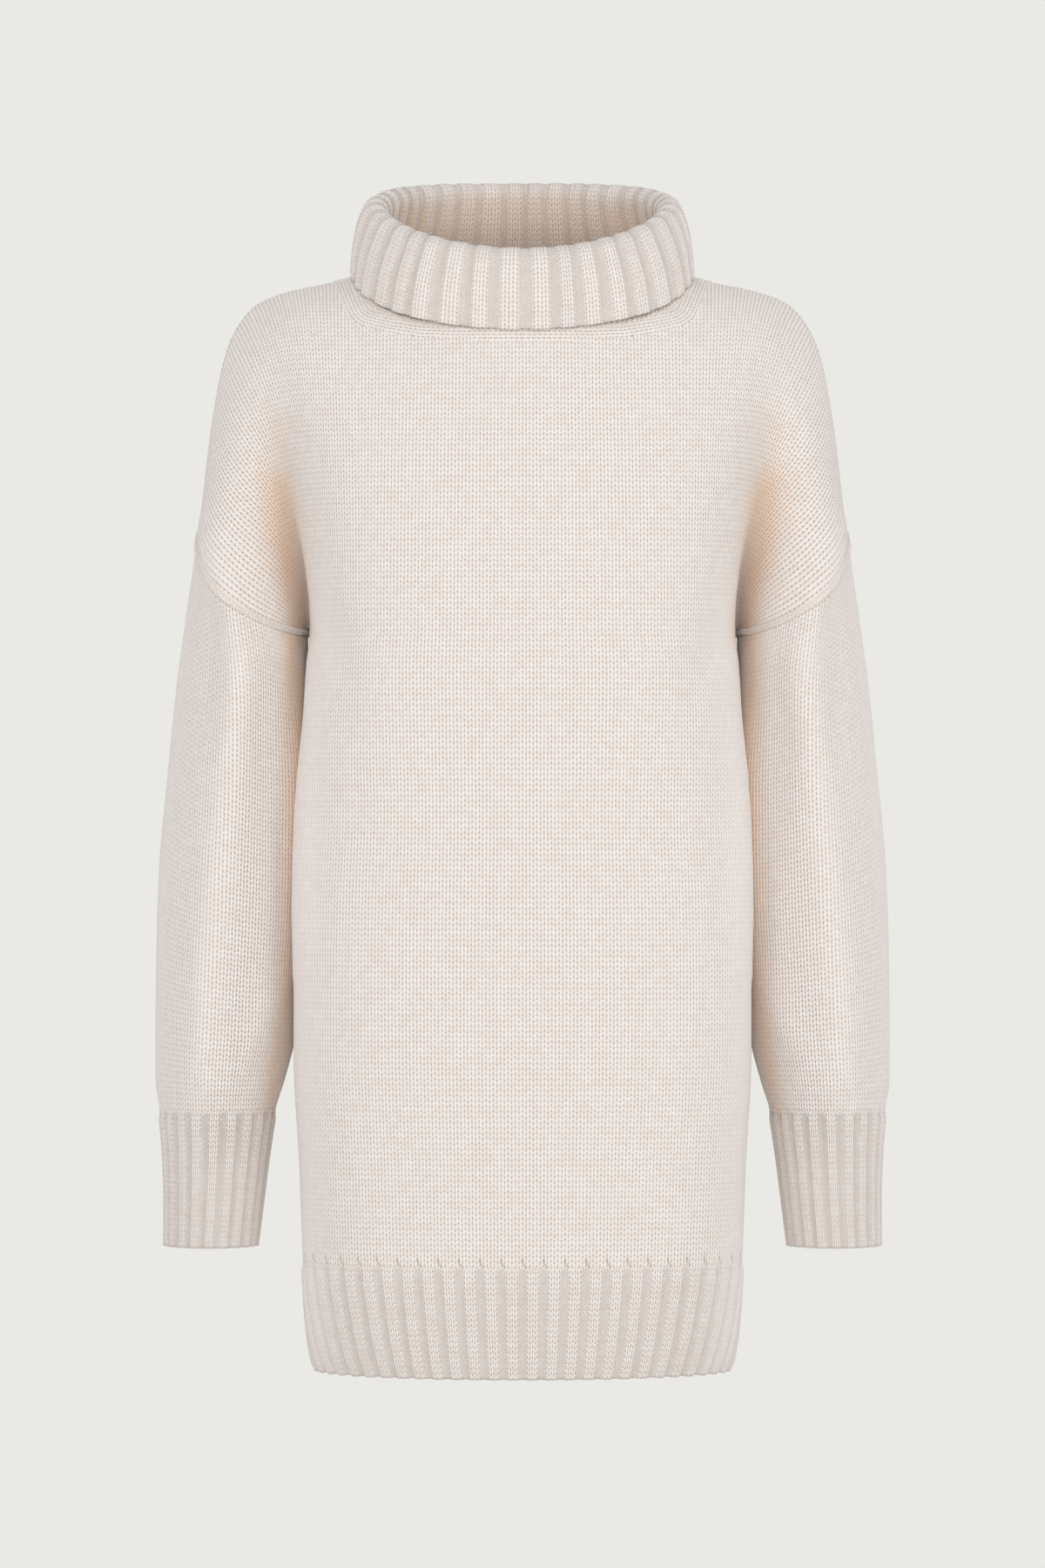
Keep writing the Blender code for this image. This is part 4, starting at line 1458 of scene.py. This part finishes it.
@dataclass(frozen=True)
class Wool(Yarn):
    """Knitted wool, with painted shade, darker and warmer, where light doesn't reach between the
    stitches and in folds, and painted sheen on some stretches.
    """

    name: str = "cream_wool"
    yarn: Colour = (0.868, 0.798, 0.752, 1.0)
    tuft: Colour = (0.902, 0.848, 0.820, 1.0)
    # Painted shade in the dots between the stitches.
    pit: Colour = (0.600, 0.490, 0.405, 1.0)
    # Painted shade, dim and warm, for folds, the collar's inside and the ribs' grooves, on the stitches
    # and in their dots.
    nook: Colour = (0.880, 0.620, 0.430, 1.0)
    nook_pit: Colour = (0.640, 0.400, 0.250, 1.0)
    # Painted sheen: the lighter, cooler grey of the bands where the cloth turns aside.
    sheen_grey: Colour = (0.885, 0.845, 0.830, 1.0)
    hook: Colour = (0.560, 0.460, 0.330, 1.0)
    fuzz: float = 1400.0
    bump: float = 0.0007
    cloud: float = 170.0
    nook_share: float = 0.80
    hook_from: float = 21.3
    hook_to: float = 23.3
    hook_fade: tuple[float, float] = (0.6, 0.8)
    hook_repeat: float = 3.0
    hook_bend: float = 0.45
    hook_line: tuple[float, float] = (0.04, 0.26)
    hook_share: float = 0.85
    dot_gap: float = 0.54
    dot_depth: float = 0.13
    dot_power: float = 0.8
    gap_depth: float = 0.43
    gap_power: float = 1.4
    chevron: float = 2.00
    stroke_foot: float = 0.16
    stroke_height: float = 0.88
    stroke_power: float = 0.6
    edge_at: float = 0.95
    edge_line: tuple[float, float] = (0.05, 0.38)
    edge_depth: float = 0.95
    middle_reach: float = 0.30
    middle_depth: float = 0.50
    strand_shade: float = 0.35
    strand_relief: float = 0.30
    # Painted sheen evens the stitches' tone towards a light one and tints them grey, and flattens their
    # relief; below 0, painted shade pushes the dots' tone down instead.
    sheen_tone: float = 0.88
    sheen_even: float = 0.70
    sheen_share: float = 0.55
    brushed_flat: float = 0.55

    def knit_height(self, wale: Value, course: Value) -> Value:
        """Steep legs, with a dot between them at each course."""
        spread = (wale.fraction() * 2.0 - 1.0).size()
        along = (course - spread * STITCHES.slant).fraction()
        gap = 1.0 - spread.arch()
        dot = 1.0 - along.arch().power(self.dot_power)
        deep = gap.power(self.gap_power) * self.gap_depth
        return 1.0 - dot * (gap * self.dot_gap + self.dot_depth) - deep

    def purl_height(self, wale: Value, course: Value) -> Value:
        """Two short strokes a course, which meet in a chevron, with dots along its middle and edges."""
        repeat = STITCHES.rib_repeat
        reach = ((wale * (1 / repeat) + 0.5).fraction() - 0.5).size() * repeat
        stroke = (course * 2.0 - reach * self.chevron).fraction().arch().power(self.stroke_power)
        edge = 1.0 - (reach - self.edge_at).size().soft(*self.edge_line)
        middle = 1.0 - reach.soft(0.0, self.middle_reach)
        shown = stroke * self.stroke_height * (1.0 - edge * self.edge_depth)
        return self.stroke_foot + shown * (1.0 - middle * self.middle_depth)

    def hook_mark(self, wale: Value, course: Value) -> Value:
        """A short hooked line at the head of each purl column of the hem's rib."""
        low = 1.0 - course.soft(self.hook_from, self.hook_from + 1.0)
        aside = ((wale * (1 / self.hook_repeat) + 0.5).fraction() - 0.5) * self.hook_repeat
        aside = aside - low * low * self.hook_bend
        line = (1.0 - aside.size().soft(*self.hook_line)) * self.hook_share
        rise, fall = self.hook_fade
        shown = 1.0 - course.soft(self.hook_to - fall, self.hook_to)
        return line * course.soft(self.hook_from - rise, self.hook_from) * shown

    def material(self) -> bpy.types.Material:
        """Make the wool's material."""
        nodes = MaterialNodes(self.name)
        place = nodes.make("ShaderNodeUVMap", uv_map="stitches")
        wale = nodes.make("ShaderNodeSeparateXYZ", {0: place})
        course = wale.of(1)
        purl, warm, sheen_and_shade = (
            nodes.make("ShaderNodeAttribute", attribute_name=kind).of("Fac")
            for kind in ("purl", "warm", "sheen_and_shade")
        )
        purl = purl.soft(0.40, 0.60)
        knit = self.knit_height(wale, course)
        height = knit + purl * (self.purl_height(wale, course) - knit)
        strand = nodes.noise(self.fuzz)
        shade = (height + strand * self.strand_shade - 0.17).soft(-0.05, 0.95)
        # Painted sheen evens the tone towards a light one; below 0, painted shade darkens the dots.
        shade = shade + (self.sheen_tone - shade) * (sheen_and_shade * self.sheen_even)
        light = nodes.mix(nodes.noise(self.cloud).soft(0.35, 0.65), self.yarn, self.tuft)
        # Painted shade in the dots between the stitches.
        colour = nodes.mix(shade, self.pit, light)
        # Painted sheen: lighter, cooler grey on its bands.
        colour = nodes.mix(sheen_and_shade * self.sheen_share, colour, self.sheen_grey)
        colour = nodes.mix(self.hook_mark(wale, course) * (1.0 - purl), colour, self.hook)
        # Painted shade, dim and warm, in folds, inside the collar and in the ribs' grooves.
        colour = nodes.mix(warm * self.nook_share, colour, nodes.mix(shade, self.nook_pit, self.nook))
        relief = height * (1.0 - sheen_and_shade * self.brushed_flat) + strand * self.strand_relief
        return self.dress(nodes, colour, relief)


@dataclass
class SeamPath:
    """A closed line along a seam, with the direction out of the cloth at each of its points."""

    points: np.ndarray
    outwards: np.ndarray

    def evened(self, pitch: float) -> "SeamPath":
        """The path with a whole number of points, about a pitch apart."""
        rings = [np.vstack([ring, ring[:1]]) for ring in (self.points, self.outwards)]
        run = lengths(rings[0])
        count = round(run[-1] / pitch)
        points, outwards = (sample(np.arange(count) * run[-1] / count, run, ring) for ring in rings)
        for _ in range(3):
            points = (np.roll(points, 1, axis=0) + 2 * points + np.roll(points, -1, axis=0)) / 4
        return SeamPath(points, unit(outwards))

    def along(self) -> np.ndarray:
        """The direction along the seam at each point."""
        return unit(np.roll(self.points, -1, axis=0) - np.roll(self.points, 1, axis=0))


@dataclass(frozen=True)
class Chain:
    """A linked seam: loops of yarn, each laid over the next, on a core of yarn in the seam."""

    pitch: float = 0.0039
    length: float = 0.0054
    width: float = 0.0038
    strand: float = 0.00060
    core: float = 0.0012
    lift: float = 0.0009
    tilt: float = 0.14

    def tree(self, sizes: dict[str, float]) -> bpy.types.NodeTree:
        """The Geometry Nodes that lay the loops and the core along a path.

        Args:
            sizes: The sizes, by the names of their inputs.

        Returns:
            The tree, with an input for the path, for each size and for the yarn.
        """
        tree = bpy.data.node_groups.new("linking", "GeometryNodeTree")
        tree.interface.new_socket("Geometry", in_out="OUTPUT", socket_type="NodeSocketGeometry")
        kinds = {"Path": "Geometry"} | dict.fromkeys(sizes, "Float") | {"Yarn": "Material"}
        for name, kind in kinds.items():
            tree.interface.new_socket(name, in_out="INPUT", socket_type=f"NodeSocket{kind}")
        nodes = NodeMaker(tree)
        path = nodes.make("NodeGroupInput")
        length, width, strand, core, lift, tilt, yarn = map(path.of, (*sizes, "Yarn"))

        def circle(resolution: int, radius: float | Value) -> Value:
            """A circle of some points."""
            kind = "GeometryNodeCurvePrimitiveCircle"
            return nodes.make(kind, {"Resolution": resolution, "Radius": radius})

        def vector(x: float | Value, y: float | Value, z: float | Value) -> Value:
            """A vector from its parts."""
            return nodes.make("ShaderNodeCombineXYZ", {0: x, 1: y, 2: z})

        def tube(curve: Value, profile: Value) -> Value:
            """A curve with a round profile."""
            return nodes.make("GeometryNodeCurveToMesh", {"Curve": curve, "Profile Curve": profile})

        oval = nodes.make("GeometryNodeTransform", {
            "Geometry": circle(10, 1.0),
            "Translation": vector(0.0, 0.0, lift),
            "Rotation": vector(0.0, tilt, 0.0),
            "Scale": vector(length * 0.5, width * 0.5, 1.0),
        })
        outwards, along = (
            nodes.make("GeometryNodeInputNamedAttribute", {"Name": name}, data_type="FLOAT_VECTOR")
            for name in ("outwards", "along")
        )
        axes = {"Primary Axis": outwards, "Secondary Axis": along}
        turned = nodes.make("FunctionNodeAxesToRotation", axes, primary_axis="Z", secondary_axis="X")
        loops = nodes.make("GeometryNodeInstanceOnPoints", {
            "Points": path, "Instance": tube(oval, circle(4, strand)), "Rotation": turned,
        })
        line = tube(nodes.make("GeometryNodeMeshToCurve", {"Mesh": path}), circle(8, core))
        both = nodes.make("GeometryNodeJoinGeometry", {"Geometry": [loops, line]})
        smooth = nodes.make("GeometryNodeSetShadeSmooth", {"Geometry": both})
        real = nodes.make("GeometryNodeRealizeInstances", {"Geometry": smooth})
        dressed = nodes.make("GeometryNodeSetMaterial", {"Geometry": real, "Material": yarn})
        nodes.make("NodeGroupOutput", {"Geometry": dressed})
        return tree

    def build(self, name: str, path: SeamPath, yarn: bpy.types.Material) -> bpy.types.Object:
        """Lay the chain along a seam.

        Args:
            name: The chain's name.
            path: The seam.
            yarn: The material of the yarn.

        Returns:
            The chain as an object.
        """
        path = path.evened(self.pitch)
        count = len(path.points)
        mesh = bpy.data.meshes.new(name)
        mesh.from_pydata(path.points.tolist(), [(i, (i + 1) % count) for i in range(count)], [])
        for kind, vectors in (("outwards", path.outwards), ("along", path.along())):
            attribute = mesh.attributes.new(kind, "FLOAT_VECTOR", "POINT")
            attribute.data.foreach_set("vector", vectors.astype(np.float32).ravel())
        line = link(f"{name}_path", mesh)
        modifier = line.modifiers.new("linking", "NODES")
        sizes = {"Length": self.length, "Width": self.width, "Strand": self.strand,
                 "Core": self.core, "Lift": self.lift, "Tilt": self.tilt}
        modifier.node_group = self.tree(sizes)
        sizes["Yarn"] = yarn
        for socket in modifier.node_group.interface.items_tree:
            if socket.name in sizes:
                modifier[socket.identifier] = sizes[socket.name]
        bpy.context.view_layer.update()
        graph = bpy.context.evaluated_depsgraph_get()
        chain = link(name, bpy.data.meshes.new_from_object(line.evaluated_get(graph)))
        bpy.data.objects.remove(line)
        for kind in ("outwards", "along"):
            if kind in chain.data.attributes:
                chain.data.attributes.remove(chain.data.attributes[kind])
        return chain


@dataclass
class Seams:
    """The linked seams that show: round the neck below the collar, and round both armholes.

    A row of front is a point of the neck seam in front, as x and z.
    """

    body: Body
    neck: Chain = Chain()
    armhole: Chain = Chain(
        pitch=0.0037, length=0.0052, width=0.0036, strand=0.0005, core=0.0021, lift=0.0018,
    )
    armhole_sink: float = 0.0009
    front: Rows = (
        (0.0000, -0.0410), (0.0300, -0.0405), (0.0587, -0.0385), (0.0752, -0.0364), (0.0837, -0.0342),
        (0.0893, -0.0322), (0.0960, -0.0291), (0.1027, -0.0250), (0.1082, -0.0209), (0.1137, -0.0158),
        (0.1185, -0.0085),
    )
    behind: Ring = Ring(0.1205, 0.0810, 0.0810, 0.0, 0.0006, 0.0050)
    behind_from: float = 0.53

    def neck_path(self, front: Surface, back: Surface) -> SeamPath:
        """The neck seam, just below the collar's free edge in front and at its foot behind."""
        line = np.array(self.front)
        out = np.linspace(0, line[-1, 0], 60)
        ahead = front.seen(np.stack([out, np.interp(out, *line.T)], axis=1), Side.FRONT)
        after = back.nearest(self.behind.points(np.linspace(math.pi * self.behind_from, math.pi, 50)))
        halves = np.concatenate([ahead, after], axis=1)
        halves[0, [0, -1], 0] = 0.0
        return SeamPath(*(np.vstack([half, half[-2:0:-1] * MIRROR]) for half in halves))

    def armhole_path(self, hand: Hand) -> SeamPath:
        """The armhole seam, a little sunk between the panels and the sleeve."""
        arm, steps = ArmForm(self.body), np.linspace(0, 1, 121)
        halves = [self.body.armhole(side, steps) for side in Side]
        outwards = [arm.seam_normal(half, side) for half, side in zip(halves, Side)]
        points, out = (np.vstack([front, back[-2:0:-1]]) for front, back in (halves, outwards))
        shift = np.sum([crease.at(points) for crease in CREASES], axis=0)[:, None] - self.armhole_sink
        turn = np.array([hand.value, 1.0, 1.0])
        return SeamPath((points + out * shift) * turn, out * turn)

    def build(self, front: Surface, back: Surface, yarn: bpy.types.Material) -> None:
        """Link the seams.

        Args:
            front: The front panel's surface.
            back: The back panel's surface.
            yarn: The material of the yarn.
        """
        paths = {
            "neck_seam": (self.neck, self.neck_path(front, back)),
            "armhole_seam_left": (self.armhole, self.armhole_path(Hand.LEFT)),
            "armhole_seam_right": (self.armhole, self.armhole_path(Hand.RIGHT)),
        }
        for name, (chain, path) in paths.items():
            piece = chain.build(name, path, yarn)
            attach(piece, "root")
            log.info("%s: %d faces", name, len(piece.data.polygons))


@dataclass
class Studio:
    """A plain pale studio: a floor, soft light all round and from the front, and the camera.

    A lamp is its name, its place, its size and its power.
    """

    backdrop: Colour = (0.823, 0.815, 0.784, 1.0)
    around: Colour = (0.640, 0.636, 0.632, 1.0)
    lamps: tuple[tuple[str, Point, float, float], ...] = (
        ("left_softbox", (-1.9, -2.1, 0.02), 1.2, 9.4),
        ("right_softbox", (1.9, -2.1, 0.04), 1.2, 13.2),
        ("front_softbox", (0.0, -3.2, 0.75), 1.2, 20.5),
        ("back_softbox", (0.0, 4.0, 0.30), 2.0, 40.0),
    )
    floor_colour: Colour = (0.80, 0.79, 0.76, 1.0)
    floor_height: float = -1.380
    floor_radius: float = 3.4
    floor_fade: tuple[float, float] = (0.35, 0.98)
    floor_roughness: float = 0.9
    camera_height: float = -0.360
    camera_distance: float = 5.0
    frame_height: float = 1.116
    sensor: float = 36.0

    def build(self) -> None:
        """Set up the world, the lights, the floor and the camera."""
        scene = bpy.context.scene
        scene.view_settings.view_transform = "Standard"
        scene.view_settings.look = "None"
        scene.world = self.surroundings()
        for lamp in self.lamps:
            self.light(*lamp)
        self.floor()
        self.camera()

    def surroundings(self) -> bpy.types.World:
        """A world that shows the pale backdrop and lights the sweater a little less than that."""
        world = bpy.data.worlds.new("studio")
        world.use_nodes = True
        nodes = NodeMaker(world.node_tree)
        lit = nodes.make("ShaderNodeBackground", {"Color": self.around})
        shown = nodes.make("ShaderNodeBackground", {"Color": self.backdrop})
        seen = nodes.make("ShaderNodeLightPath").of("Is Camera Ray")
        mix = nodes.make("ShaderNodeMixShader", {0: seen, 1: lit, 2: shown})
        nodes.make("ShaderNodeOutputWorld", {"Surface": mix})
        return world

    def light(self, name: str, place: Point, size: float, power: float) -> None:
        """Add a soft light that faces the sweater."""
        data = bpy.data.lights.new(name, "AREA")
        data.shape = "DISK"
        data.size = size
        data.energy = power
        lamp = link(name, data)
        lamp.location = place
        towards = np.array([0.0, 0.0, self.camera_height]) - np.array(place)
        flat = math.hypot(towards[0], towards[1])
        lamp.rotation_euler = (math.atan2(flat, -towards[2]), 0.0, math.atan2(-towards[0], towards[1]))

    def floor(self) -> None:
        """Add a round pale floor that fades out towards its edge."""
        angle = np.linspace(0, 2 * math.pi, 97)[:-1]
        radius, height = self.floor_radius, np.full_like(angle, self.floor_height)
        points = np.stack([radius * np.cos(angle), radius * np.sin(angle), height], axis=1)
        mesh = bpy.data.meshes.new("floor")
        mesh.from_pydata(points.tolist(), [], [tuple(range(len(points)))])
        nodes = MaterialNodes("pale_floor")
        x = nodes.make("ShaderNodeSeparateXYZ", {0: nodes.place})
        y = x.of(1)
        start, end = (radius * share for share in self.floor_fade)
        shown = 1.0 - (x * x + y * y).power(0.5).soft(start, end)
        mesh.materials.append(nodes.finish(
            Base_Color=self.floor_colour, Roughness=self.floor_roughness, Alpha=shown,
        ))
        link("floor", mesh)

    def camera(self) -> None:
        """Add the camera, level and straight in front, as in the photo."""
        data = bpy.data.cameras.new("camera")
        data.sensor_fit = "VERTICAL"
        data.sensor_height = self.sensor
        data.lens = self.sensor * self.camera_distance / self.frame_height
        camera = link("camera", data)
        camera.location = (0.0, -self.camera_distance, self.camera_height)
        camera.rotation_euler = (math.pi / 2, 0.0, 0.0)
        bpy.context.scene.camera = camera


@dataclass
class Sweater:
    """The whole sweater: two panels, two sleeves and the collar."""

    body: Body = field(default_factory=Body)

    def build(self) -> None:
        """Knit each piece and let it stand for its solid."""
        material = Wool().material()
        front = BodyPanel("front_panel_knit", self.body, Side.FRONT, FRONT_BAND)
        self.declare(front.build(material), "front_panel")
        back = BodyPanel("back_panel_knit", self.body, Side.BACK, BACK_BAND)
        self.declare(back.build(material), "back_panel")
        for name, hand in (("sleeve_left", Hand.LEFT), ("sleeve_right", Hand.RIGHT)):
            piece = Sleeve(f"{name}_knit", self.body, hand).build(material)
            self.declare(piece, name)
        piece = Collar("collar_knit", self.body).build(material)
        self.declare(piece, "collar")
        Seams(self.body).build(front.surface, back.surface, SeamYarn().material())

    def declare(self, piece: bpy.types.Object, node: str) -> None:
        """Attach a piece to the root and hide the solid that it stands for.

        Args:
            piece: The knitted piece.
            node: The solid that it stands for.
        """
        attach(piece, "root")
        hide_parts(node)
        log.info("%s: %d triangles", piece.name, len(piece.data.polygons))


def main() -> None:
    """Build the studio and the sweater."""
    logging.basicConfig(level=logging.INFO, format="%(name)s: %(message)s")
    Studio().build()
    Sweater().build()


if __name__ == "__main__":
    main()
